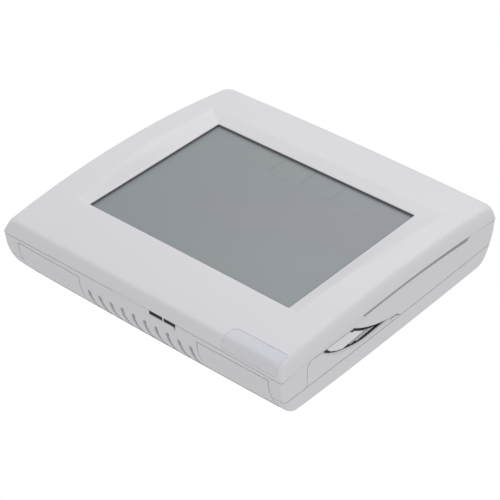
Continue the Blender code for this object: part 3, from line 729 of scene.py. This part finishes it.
# The tongue's outline as (z, depth), and the ribs as (left z, right z, depth).
TONGUE = ((-36.5, 18.5), (-35.4, 17.1), (-33.4, 15.5), (-30.6, 14.2), (-27.6, 13.35),
          (-21.0, 13.6), (-16.6, 13.9), (-19.6, 15.5), (-22.3, 17.3), (-23.5, 18.5))
RIBS = ((-25.6, -13.6, 12.35), (-23.0, -11.0, 11.6), (-19.4, -8.4, 10.95))
CELLS = ("battery_1", "battery_2")
# A cell's outline as (share of the radius, distance from the flat end).
CELL_PROFILE = ((0.62, 0.0), (0.62, 0.4), (0.86, 0.4), (0.97, 0.55), (1.0, 0.9), (1.0, 42.6),
                (0.97, 42.95), (0.86, 43.1), (0.5, 43.1), (0.4, 43.2), (0.375, 43.4),
                (0.375, 44.0), (0.34, 44.15))
CELL_SEGMENTS = 48
CELL_FILM = 0.01
CELL_PLAY = 0.15
POCKET_LENGTH = 45.1
DRAWER_LEVELS = (7.0, 8.6, 9.5, 10.5, 11.5, 13.0, 14.5, 16.0, 18.0, 21.0)
# X of the scoop's floor, of its ribs' faces, and of its chamfer's inner and outer edge.
SCOOP_X = (61.2, 62.4, 62.9, 63.75)
SCOOP_TOP = 18.6
# The scoop's black painted shadow: its sheet, and how wide its lip is along each curved edge.
SHADOW_SHEET_X = (61.1, 61.75)
LIP_X = (61.3, 62.6)
LEFT_LIP = (1.2, 1.2, 0.5, 0.4, 0.35, 0.3, 0.3, 0.3)
RIGHT_LIP = (-1.2, -1.1, -0.55, -0.4, -0.35, -0.3, -0.2)


def side_curve(points, out=0.0):
    """A dense curve through (z, depth) points, moved to its left by a distance."""
    points = smooth_curve(points)
    moved = []
    for index, point in enumerate(points):
        along = (points[min(index + 1, len(points) - 1)] - points[max(index - 1, 0)]).normalized()
        distance = out(index / (len(points) - 1.0)) if callable(out) else out
        moved.append(point + Vector((-along.y, along.x)) * distance)
    return moved


def scoop_sides(grow=0.0):
    """The scoop's outline between its two curved edges, as (z, depth) points."""
    points = side_curve(SCOOP_LEFT, -grow) + side_curve(SCOOP_RIGHT, grow)[::-1]
    return [Vector((z, min(depth, SCOOP_TOP))) for z, depth in points]


def make_tray():
    """The drawer's tray, and the cutters for its round pockets and the bridge strip's seat."""
    cells = [node_spans(name) for name in CELLS]
    cell_depth = middle(cells[0][1])
    tray = block("tray", [((node_spans("battery_drawer")[0][0], DRAWER_FACE_X + 0.4),
                           (CASE_BACK, cell_depth - CELL_PLAY),
                           (cells[0][2][0] - 0.55, cells[1][2][1] + 0.75))])
    cutters = []
    for x, _, z in cells:
        cutters.append(rod("pocket", (middle(x), cell_depth, middle(z)),
                           (z[1] - z[0]) / 2.0 + CELL_PLAY, POCKET_LENGTH, "X", 64))
    x, _, z = node_spans("battery_bridge")
    cutters.append(block("strip_seat", [(grown(x, 0.15), (10.1, 16.9), grown(z, 0.3))]))
    return tray, cutters


def make_drawer():
    drawer = loft("drawer_shell", [side_ring(level) for level in DRAWER_LEVELS])
    blank = side_prism("drawer_blank", drawer_outline(0.25), (DRAWER_FACE_X, OUTSIDE_X))
    carve(drawer, keep=blank)
    tray, cutters = make_tray()
    carve(drawer, joins=[tray], cutters=cutters)

    pocket = side_prism("scoop", scoop_sides(), (SCOOP_X[0], OUTSIDE_X))
    chamfer = loft("scoop_chamfer", [side_outline(scoop_sides(), SCOOP_X[2]),
                                     side_outline(scoop_sides(0.9), SCOOP_X[3])])
    carve(drawer, cutters=[pocket, chamfer])

    ribs = []
    for index, (left, right, depth) in enumerate(RIBS):
        shape = ((left, depth), (right, depth + 0.55), (right, depth + 0.85), (left, depth + 0.3))
        ribs.append(side_prism(f"rib_{index + 1}", shape, (SCOOP_X[0] - 0.2, SCOOP_X[1])))
    carve(drawer, joins=ribs)
    shade(drawer)
    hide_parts("battery_drawer")
    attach(drawer, "drawer")
    return drawer


def curve_band(name, points, start, widths, x):
    """A bar along a curve in the side, from a distance off it to a changing distance."""
    def reach(share):
        share *= len(widths) - 1
        low = min(int(share), len(widths) - 2)
        return start + widths[low] + (widths[low + 1] - widths[low]) * (share - low)
    rings = []
    for near, far in zip(side_curve(points, start), side_curve(points, reach)):
        rings.append([place(level, min(point.y, SCOOP_TOP - 0.05), point.x)
                      for point, level in ((near, x[0]), (near, x[1]), (far, x[1]), (far, x[0]))])
    return loft(name, rings)


def make_scoop_shadow():
    """Painted shadow in the scoop: a black sheet on its floor, and a black lip along each curved edge."""
    scoop_shadow = side_prism("scoop_shadow_sheet", scoop_sides(), SHADOW_SHEET_X)
    left = curve_band("left_lip", SCOOP_LEFT, 0.05, LEFT_LIP, LIP_X)
    right = curve_band("right_lip", SCOOP_RIGHT, -0.3, RIGHT_LIP, LIP_X)
    carve(scoop_shadow, joins=[left, right])
    shade(scoop_shadow)
    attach(scoop_shadow, "drawer")
    return scoop_shadow


def make_tongue():
    """The finger tongue between the scoop's lips, leaning in towards the front."""
    high = [place(63.25 - 0.2 * (depth - 13.0), depth, z) for z, depth in TONGUE]
    tongue = shade(loft("finger_tongue", [side_outline(TONGUE, 61.0), high]))
    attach(tongue, "drawer")
    return tongue


def make_cells():
    """Two cells: a wrapped can with turned ends and its raised contact."""
    cells = []
    for name in CELLS:
        low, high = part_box(name)
        center = (low + high) / 2.0
        radius = (high.z - low.z) / 2.0 - CELL_FILM * MM
        length = high.x - low.x
        sign = 1.0 if name == CELLS[0] else -1.0
        rings = []
        for share, along in CELL_PROFILE:
            x = center.x + sign * length * (along / CELL_PROFILE[-1][1] - 0.5)
            rings.append([(x, center.y + radius * share * math.cos(angle),
                           center.z + radius * share * math.sin(angle))
                          for angle in (math.tau * step / CELL_SEGMENTS for step in range(CELL_SEGMENTS))])
        cell = shade(loft(f"cell_{name[-1]}", rings))
        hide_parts(name)
        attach(cell, "drawer")
        cells.append(cell)
    return cells


# ---------- wallplate and tabs

PAD_HALF = 8.3
PAD_BASE = 3.0
PAD_TOP = 11.7
PAD_RISE = 0.5
PLATE_LEVELS = (0.0, 0.06, 0.2, 0.4, 0.7, 1.0, 1.4, 2.0, 2.7, 3.5, 4.4, 5.5, 6.6, 7.6)
WIRE_OPENING = (10.0, 13.5, 2.0)
WIRE_OPENING_Z = 18.5
WALL_SCREWS = ((-38.0, 30.0), (38.0, 30.0), (0.0, -34.0))
WALL_SCREW_R = 2.3
# The shallow hollows in the wallplate's back, as spans of X and Z.
HOLLOWS = (((-56.0, -44.0), (-40.0, 44.0)), ((44.0, 56.0), (-40.0, 44.0)),
           ((-40.0, -14.0), (-43.0, -10.0)), ((14.0, 40.0), (-43.0, -10.0)),
           ((-30.0, 30.0), (37.0, 46.0)), ((-40.0, -14.0), (-6.0, 24.0)),
           ((14.0, 40.0), (-6.0, 24.0)))
HOLLOW = 0.6


def make_tabs():
    """The release tabs: each has a thumb pad, a wedge with a ledge at its top."""
    tabs = []
    for side, center in zip(("left", "right"), TAB_X):
        def pad(x, depth, center=center):
            ends = smoothstep((PAD_HALF - abs(x - center)) / 0.3 + 0.5)
            slope = min(max((depth - PAD_BASE) / (PAD_TOP - PAD_BASE), 0.0), 1.0)
            return -PAD_RISE * ends * slope * smoothstep((PAD_TOP - depth) / 0.35 + 0.5)
        tab = bottom_plate(f"tab_{side}", (center - TAB_HALF, center + TAB_HALF), (TAB_BACK, TAB_TOP),
                           TAB_THICK, columns=150, rows=60, shape=pad)
        shade(tab)
        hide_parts(f"release_tab_{side}")
        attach(tab, f"tab_{side}")
        tabs.append(tab)
    return tabs


def make_wall_shadow():
    """A dark strip of painted shadow on the wallplate, in the gap behind the tails of the tabs."""
    wall_shadow = shade(bottom_plate("wall_shadow_strip", grown(TAB_X, TAB_HALF + GAP - 0.2),
                              (PLATE_LIP + 0.03, 1.25), 2.0, 0.0, 60, 4,
                              lambda x, depth: 0.12 - edge_cut(TAIL_R, depth)))
    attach(wall_shadow, "wallplate")
    return wall_shadow


def make_wallplate():
    rings = [side_ring(level) for level in (*PLATE_LEVELS, PLATE_RIM - EDGE_BREAK)]
    rings.append(end_ring(PLATE_RIM))
    rings += [side_ring(level, RIM_WALL) for level in (PLATE_RIM, 5.5, PLATE_FLOOR)]
    plate = loft("wallplate_shell", rings)
    opening = [[place(x, depth, z + WIRE_OPENING_Z) for x, z in rounded_rect(*WIRE_OPENING)]
               for depth in (-1.0, 4.0)]
    notch = block("bottom_notch",
                  [(grown(TAB_X, TAB_HALF + GAP), (PLATE_LIP, 10.0), (BELOW_Z, -47.0))])
    holes = [rod("wall_screw_hole", (x, 1.0, z), WALL_SCREW_R, 6.0) for x, z in WALL_SCREWS]
    catches = [((x - 3.0, x + 3.0), (1.0, 13.0), (48.0, 49.6)) for x in (-CATCH_X, CATCH_X)]
    jumper_rails = [((x, x + 1.0), (1.0, 5.0), (-9.0, 8.0)) for x in (-34.0, -28.2)]
    hollows = [(x, (-1.0, HOLLOW), z) for x, z in HOLLOWS]
    carve(plate, joins=[block("posts", catches + jumper_rails)],
          cutters=[loft("wire_opening", opening), notch, *holes, block("back_hollows", hollows)])
    shade(plate)
    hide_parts("wallplate")
    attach(plate, "wallplate")
    return plate


# ---------- display

KEY_COUNT = 4
KEY_X = (-26.1, 30.3)
KEY_GAP = 0.25
KEY_TOP = WINDOW_HALF_H - 0.2
KEY_BOTTOM = 22.4
KEY_LINE = 0.28
KEY_CORNER_R = 1.6
PRINT = 0.006
GASKET = 0.13
TOUCH_BACK = 23.5


def add_line(bm, path, width, depth):
    """A flat printed line along (x, z) points, as a thin closed strip."""
    rings = []
    for index, point in enumerate(path):
        before = Vector(path[max(index - 1, 0)])
        after = Vector(path[min(index + 1, len(path) - 1)])
        along = (after - before).normalized()
        across = Vector((-along.y, along.x)) * width / 2.0
        left, right = Vector(point) + across, Vector(point) - across
        rings.append([place(edge.x, level, edge.y) for edge, level in
                      ((left, depth), (left, depth + PRINT), (right, depth + PRINT), (right, depth))])
    add_loft(bm, rings)


def make_panel():
    """The touch film over the display."""
    (_, half_w), _, (_, half_h) = node_spans("touch_panel")
    corners = ((-1, -1), (1, -1), (1, 1), (-1, 1))
    rings = [[place(x * (half_w - inset), depth, z * (half_h - inset)) for x, z in corners]
             for inset, depth in ((0.3, TOUCH_BACK), (0.0, TOUCH_BACK), (0.0, DISPLAY_DEPTH - 0.15),
                                  (0.15, DISPLAY_DEPTH))]
    panel = loft("display_face", rings)
    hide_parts("touch_panel")
    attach(panel, "head")
    return panel


def make_gasket():
    """The black frame round the display, with its edge in the window."""
    x, (back, _), z = node_spans("lcd_frame")
    hidden, rim = rounded_rect(x[1] - 1.4, z[1] - 1.6, 0.3), rounded_rect(x[1], z[1], 0.8)
    lip, seen = window_outline(-0.01, 0.3), window_outline(-GASKET, 0.3)
    rings = [raised(points, depth) for points, depth in
             ((hidden, back), (rim, back), (rim, 24.4), (lip, 24.6), (lip, 25.12), (seen, 25.12),
              (seen, DISPLAY_DEPTH + 0.02), (hidden, DISPLAY_DEPTH + 0.02))]
    gasket = shade(loft("display_gasket", rings, closed=True))
    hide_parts("lcd_frame")
    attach(gasket, "head")
    return gasket


def make_key_outlines():
    """The U-shaped outlines of the touch keys, printed on the film."""
    step = (KEY_X[1] - KEY_X[0]) / KEY_COUNT
    keys = bmesh.new()
    for index in range(KEY_COUNT):
        left, right = KEY_X[0] + index * step + KEY_GAP, KEY_X[0] + (index + 1) * step - KEY_GAP
        center_z = KEY_BOTTOM + KEY_CORNER_R
        path = [(left, KEY_TOP), *arc((left + KEY_CORNER_R, center_z), KEY_CORNER_R, 2, 8),
                *arc((right - KEY_CORNER_R, center_z), KEY_CORNER_R, 3, 8), (right, KEY_TOP)]
        add_line(keys, path, KEY_LINE, DISPLAY_DEPTH + 0.004)
    outlines = new_object("key_outlines", keys)
    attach(outlines, "head")
    return outlines


# ---------- materials

SHELL = (0.80, 0.797, 0.832)
LENS_LOW = (0.78, 0.78, 0.815)
LENS_HIGH = (0.695, 0.725, 0.80)
LCD_GREEN = (0.290, 0.321, 0.333)
LCD_VIOLET = (0.292, 0.310, 0.345)
# Painted shadow of the bezel on the display: its tone at the left and top edges, and the width in millimetres
# it fades over.
LCD_PAINTED_SHADOW = (0.268, 0.290, 0.308)
LCD_SHADE = 3.4
KEY_TONE = (0.245, 0.268, 0.28)
# Fine grains of a surface: scale of the noise, strength, and height in metres.
SPARK = (2400.0, 0.10, 0.00004)
WAVINESS = (420.0, 0.05, 0.0001)


def new_material(name):
    material = bpy.data.materials.new(name)
    material.use_nodes = True
    tree = material.node_tree
    return material, tree, tree.nodes["Principled BSDF"]


def feed(tree, node, **values):
    """Set or link a node's inputs by name, or by index for a name such as in_1."""
    for key, value in values.items():
        socket = node.inputs[int(key[3:]) if key.startswith("in_") else key.replace("_", " ")]
        if isinstance(value, bpy.types.NodeSocket):
            tree.links.new(value, socket)
        elif socket.type == "RGBA":
            socket.default_value = (*value[:3], 1.0)
        else:
            socket.default_value = value


def add_node(tree, kind, **values):
    """A node with its settings and its inputs given by name."""
    node = tree.nodes.new(kind)
    settings = [key for key in values if hasattr(node, key)]
    for key in settings:
        setattr(node, key, values.pop(key))
    feed(tree, node, **values)
    return node


def coordinates(tree):
    return add_node(tree, "ShaderNodeTexCoord").outputs["Object"]


def axes(tree):
    """The object's coordinates, one by one."""
    return add_node(tree, "ShaderNodeSeparateXYZ", in_0=coordinates(tree)).outputs


def noise(tree, scale, detail=2.0):
    return add_node(tree, "ShaderNodeTexNoise", Vector=coordinates(tree), Scale=scale,
                    Detail=detail).outputs["Fac"]


def calculate(tree, operation, first, second):
    return add_node(tree, "ShaderNodeMath", operation=operation, in_0=first, in_1=second).outputs[0]


def remap(tree, source, low, high, to_low=0.0, to_high=1.0):
    return add_node(tree, "ShaderNodeMapRange", Value=source, From_Min=low, From_Max=high,
                    To_Min=to_low, To_Max=to_high).outputs["Result"]


def mix_colors(tree, factor, first, second):
    return add_node(tree, "ShaderNodeMix", data_type="RGBA", in_0=factor, in_6=first,
                    in_7=second).outputs[2]


def scaled(color, factor):
    return tuple(min(value * factor, 1.0) for value in color)


def soft_edges(tree, shader, radius, *grains):
    """Round the look of crisp edges by a radius in metres, and add grains as above."""
    normal = add_node(tree, "ShaderNodeBevel", samples=6, Radius=radius).outputs["Normal"]
    for scale, strength, height in grains:
        normal = add_node(tree, "ShaderNodeBump", Strength=strength, Distance=height,
                          Height=noise(tree, scale, 3.0), Normal=normal).outputs["Normal"]
    feed(tree, shader, Normal=normal)


def plastic(name, color, roughness=0.42, tint=0.02):
    """Moulded plastic: a faint spark texture, slow changes of tone and of gloss."""
    material, tree, shader = new_material(name)
    tone = mix_colors(tree, noise(tree, 35.0, 3.0), scaled(color, 1.0 - tint), scaled(color, 1.0 + tint))
    speck = remap(tree, noise(tree, 2600.0), 0.3, 0.7)
    fine = mix_colors(tree, speck, scaled(color, 0.985), color)
    gloss = remap(tree, noise(tree, 60.0, 4.0), 0.3, 0.7, roughness - 0.05, roughness + 0.07)
    feed(tree, shader, Base_Color=mix_colors(tree, 0.5, tone, fine), Roughness=gloss, IOR=1.5)
    soft_edges(tree, shader, 0.00018, SPARK, WAVINESS)
    return material


def lens_material():
    """Frosted window: bluish where it lies on the face, fading to the cover's tone below."""
    material, tree, shader = new_material("lens")
    height = remap(tree, axes(tree)["Z"], -59.0 * MM, -52.6 * MM)
    patches = remap(tree, noise(tree, 90.0), 0.35, 0.65, 0.55, 1.0)
    tone = mix_colors(tree, calculate(tree, "MULTIPLY", height, patches), LENS_LOW, LENS_HIGH)
    feed(tree, shader, Base_Color=tone, Roughness=0.3, Subsurface_Weight=0.25,
         Subsurface_Radius=(0.001, 0.001, 0.0012))
    soft_edges(tree, shader, 0.0001, (1800.0, 0.08, 0.00003))
    return material


def display_material():
    """Unlit reflective display: grey-green with violet drifts, and a painted shadow of the bezel along its
    left and top edges.
    """
    material, tree, shader = new_material("display")
    split = axes(tree)
    left = remap(tree, split["X"], -WINDOW_HALF_W * MM, (-WINDOW_HALF_W + LCD_SHADE) * MM)
    top = remap(tree, split["Z"], WINDOW_HALF_H * MM, (WINDOW_HALF_H - LCD_SHADE) * MM)
    shades = [calculate(tree, "POWER", source, 0.8) for source in (left, top)]
    drift = remap(tree, noise(tree, 22.0, 1.0), 0.25, 0.75)
    # Painted shadow: the tone darkens towards the left and top edges.
    tone = mix_colors(tree, calculate(tree, "MULTIPLY", *shades), LCD_PAINTED_SHADOW,
                      mix_colors(tree, drift, LCD_GREEN, LCD_VIOLET))
    smear = remap(tree, noise(tree, 40.0), 0.2, 0.8, 0.30, 0.36)
    feed(tree, shader, Base_Color=tone, Roughness=smear, Specular_IOR_Level=0.4)
    return material


def print_material():
    """The faint printed outlines of the touch keys."""
    material, tree, shader = new_material("key_print")
    tone = mix_colors(tree, noise(tree, 300.0, 3.0), KEY_TONE, scaled(KEY_TONE, 1.06))
    feed(tree, shader, Base_Color=tone, Roughness=0.35)
    return material


def metal(name, color, roughness):
    material, tree, shader = new_material(name)
    tone = mix_colors(tree, noise(tree, 500.0, 4.0), scaled(color, 0.88), color)
    gloss = remap(tree, noise(tree, 1200.0, 3.0), 0.3, 0.7, roughness - 0.06, roughness + 0.1)
    feed(tree, shader, Base_Color=tone, Roughness=gloss, Metallic=1.0)
    soft_edges(tree, shader, 0.00008, (900.0, 0.12, 0.00004))
    return material


def board_material():
    """Solder mask over copper tracks: a fine lattice of lighter lines."""
    material, tree, shader = new_material("board")
    tracks = add_node(tree, "ShaderNodeTexVoronoi", distance="MANHATTAN", feature="F2",
                      Vector=coordinates(tree), Scale=260.0)
    tone = mix_colors(tree, remap(tree, tracks.outputs["Distance"], 0.55, 0.62),
                      (0.012, 0.11, 0.045), (0.03, 0.22, 0.09))
    feed(tree, shader, Base_Color=tone, Roughness=0.35)
    soft_edges(tree, shader, 0.00008, (700.0, 0.1, 0.00004))
    return material


def wrap_material():
    """Printed film on a cell: a dark body and a lighter band at one end."""
    material, tree, shader = new_material("cell_wrap")
    band = remap(tree, axes(tree)["X"], 0.0465, 0.0468)
    body = mix_colors(tree, noise(tree, 400.0, 3.0), (0.05, 0.07, 0.10), (0.07, 0.09, 0.13))
    feed(tree, shader, Base_Color=mix_colors(tree, band, body, (0.55, 0.42, 0.22)), Metallic=0.35,
         Roughness=0.3)
    soft_edges(tree, shader, 0.00008, (900.0, 0.08, 0.00003))
    return material


def striped_material():
    """Conductive rubber strips between the display and the board."""
    material, tree, shader = new_material("strip_rubber")
    wave = add_node(tree, "ShaderNodeTexWave", bands_direction="X", Vector=coordinates(tree), Scale=900.0)
    tone = mix_colors(tree, wave.outputs["Fac"], (0.02, 0.02, 0.025), (0.55, 0.5, 0.52))
    feed(tree, shader, Base_Color=tone, Roughness=0.75)
    return material


def dress(material, *names):
    """Give CAD nodes or pieces one material."""
    for item in names:
        obj = NODES[item] if isinstance(item, str) else item
        obj.data.materials.clear()
        obj.data.materials.append(material)


def numbered(prefix, count):
    return [f"{prefix}_{index}" for index in range(1, count + 1)]


def dress_inner_nodes():
    """Materials of the CAD nodes that keep their own shape."""
    steel = metal("zinc_steel", (0.62, 0.62, 0.60), 0.3)
    dress(steel, *numbered("terminal_screw_left", 7), *numbered("terminal_screw_right", 7),
          *numbered("board_screw", 4), *numbered("case_screw", 4))
    dress(metal("nickel", (0.70, 0.69, 0.66), 0.25), "contact_minus", "contact_plus", "card_socket")
    dress(metal("brass", (0.78, 0.60, 0.30), 0.28), "battery_bridge")
    dress(metal("can_metal", (0.75, 0.76, 0.78), 0.3), "capacitor_1", "capacitor_2", "radio_module")
    black = plastic("moulded_black", (0.035, 0.035, 0.04), 0.5, 0.15)
    dress(black, *numbered("relay", 3), "sounder", "pin_header_left", "pin_header_right", "processor")
    dress(board_material(), "main_board")
    dress(striped_material(), "strip_connector_top", "strip_connector_bottom")
    dress(plastic("block_grey", (0.33, 0.35, 0.37), 0.5, 0.05), "terminal_block_left",
          "terminal_block_right")
    dress(plastic("jumper_red", (0.45, 0.03, 0.025), 0.45, 0.08), "jumper_slider")
    dress(plastic("light_guide", (0.82, 0.85, 0.88), 0.2, 0.02), "light_guide")
    dress(plastic("sensor_white", (0.80, 0.80, 0.80), 0.5, 0.03), "climate_sensor")
    dress(plastic("led_body", (0.80, 0.82, 0.86), 0.25, 0.02), "alert_led")
    dress(display_material(), "lcd_glass")


# ---------- studio

AIM = (-7.29, 0.0, 7.45)
CAMERA_DISTANCE = 680.27
CAMERA_AZIMUTH = 41.688
CAMERA_ELEVATION = -37.331
CAMERA_ROLL = 55.252
FOCAL_LENGTH = 135.144

WHITE = (1.0, 1.0, 1.0)
WORLD_LIGHT = 0.62
# Name, direction towards the light and power in watts.
LIGHTS = (("key", (-0.2, -0.72, 0.62), 3.5), ("front", (0.0, -0.93, -0.35), 0.9),
          ("fill", (0.95, 0.1, -0.3), 1.25))
LIGHT_DISTANCE = 1200.0
LIGHT_SIZE = 900.0
FLOOR_SIZE = 6000.0
FLOOR_GAP = 0.6


def make_camera():
    turn, rise = math.radians(CAMERA_AZIMUTH), math.radians(CAMERA_ELEVATION)
    back = Vector((math.sin(turn) * math.cos(rise), -math.cos(turn) * math.cos(rise), math.sin(rise)))
    data = bpy.data.cameras.new("camera")
    data.lens = FOCAL_LENGTH
    data.sensor_width = 36.0
    data.clip_start, data.clip_end = 0.05, 20.0
    camera = add_object("camera", data)
    camera.location = Vector(AIM) * MM + back * CAMERA_DISTANCE * MM
    camera.rotation_mode = "QUATERNION"
    upright = (-back).to_track_quat("-Z", "Y")
    camera.rotation_quaternion = Quaternion(back, math.radians(CAMERA_ROLL)) @ upright
    bpy.context.scene.camera = camera


def add_light(name, direction, power):
    toward = Vector(direction).normalized()
    data = bpy.data.lights.new(name, "AREA")
    data.shape = "DISK"
    data.size = LIGHT_SIZE * MM
    data.energy = power
    light = add_object(name, data)
    light.location = toward * LIGHT_DISTANCE * MM
    light.rotation_mode = "QUATERNION"
    light.rotation_quaternion = toward.to_track_quat("Z", "Y")


def make_floor():
    """A pale sheet against the back of the wallplate: seen from the front only, and it casts nothing."""
    bm = bmesh.new()
    bmesh.ops.create_grid(bm, x_segments=1, y_segments=1, size=FLOOR_SIZE * MM,
                          matrix=Matrix.Translation((0.0, FLOOR_GAP * MM, 0.0))
                          @ Matrix.Rotation(QUARTER, 4, "X"))
    floor = new_object("floor", bm)
    material, tree, _ = new_material("floor")
    tree.nodes.clear()
    sheet = add_node(tree, "ShaderNodeEmission", Color=WHITE, Strength=1.0).outputs[0]
    clear = add_node(tree, "ShaderNodeBsdfTransparent").outputs[0]
    back = add_node(tree, "ShaderNodeNewGeometry").outputs["Backfacing"]
    mix = add_node(tree, "ShaderNodeMixShader", in_0=back, in_1=sheet, in_2=clear).outputs[0]
    add_node(tree, "ShaderNodeOutputMaterial", Surface=mix)
    dress(material, floor)
    for ray in ("diffuse", "glossy", "transmission", "shadow"):
        setattr(floor, f"visible_{ray}", False)


def make_world():
    """Even white light; the camera sees it as plain white."""
    world = bpy.data.worlds.new("studio")
    world.use_nodes = True
    tree = world.node_tree
    tree.nodes.clear()
    seen = add_node(tree, "ShaderNodeBackground", Color=WHITE, Strength=1.0).outputs[0]
    lit = add_node(tree, "ShaderNodeBackground", Color=WHITE, Strength=WORLD_LIGHT).outputs[0]
    direct = add_node(tree, "ShaderNodeLightPath").outputs["Is Camera Ray"]
    mix = add_node(tree, "ShaderNodeMixShader", in_0=direct, in_1=lit, in_2=seen).outputs[0]
    add_node(tree, "ShaderNodeOutputWorld", Surface=mix)
    bpy.context.scene.world = world


def make_studio():
    make_camera()
    make_world()
    make_floor()
    for light in LIGHTS:
        add_light(*light)
    view = bpy.context.scene.view_settings
    view.view_transform = "Standard"
    view.look = "None"
    view.exposure = 0.0
    view.gamma = 1.0


# ---------- build

def main():
    make_studio()
    cover, lens = make_cover()
    case = make_case()
    drawer = make_drawer()
    scoop_shadow, tongue = make_scoop_shadow(), make_tongue()
    strip, slot_shadow = make_seam_shadow_strip(), make_slot_shadow()
    cells = make_cells()
    tabs = make_tabs()
    plate, wall_shadow = make_wallplate(), make_wall_shadow()
    panel, gasket, outlines = make_panel(), make_gasket(), make_key_outlines()
    for name, pieces in (("shell", [cover]), ("case_plastic", [case]), ("drawer_plastic", [drawer]),
                         ("plate_plastic", [plate]), ("tab_plastic", tabs)):
        dress(plastic(name, SHELL), *pieces)
    dress(lens_material(), lens)
    dress(display_material(), panel)
    dress(print_material(), outlines)
    dress(plastic("gasket_black", (0.16, 0.16, 0.168), 0.6, 0.1), gasket)
    # Painted shadow: black sheets in the scoop, inside the card slot and behind the tabs' tails.
    dress(plastic("painted_shadow_black", (0.02, 0.02, 0.022), 0.7, 0.15), scoop_shadow, slot_shadow, wall_shadow)
    # Painted shadow: the grey strip darkens the deep seam.
    dress(plastic("seam_shadow_grey", (0.36, 0.36, 0.38), 0.7, 0.08), strip)
    # Painted light: the tongue is the shell's plastic made lighter, as if lit by the key lamp.
    dress(plastic("tongue_painted_light", (0.90, 0.90, 0.93), 0.35), tongue)
    dress(wrap_material(), *cells)
    dress_inner_nodes()


main()
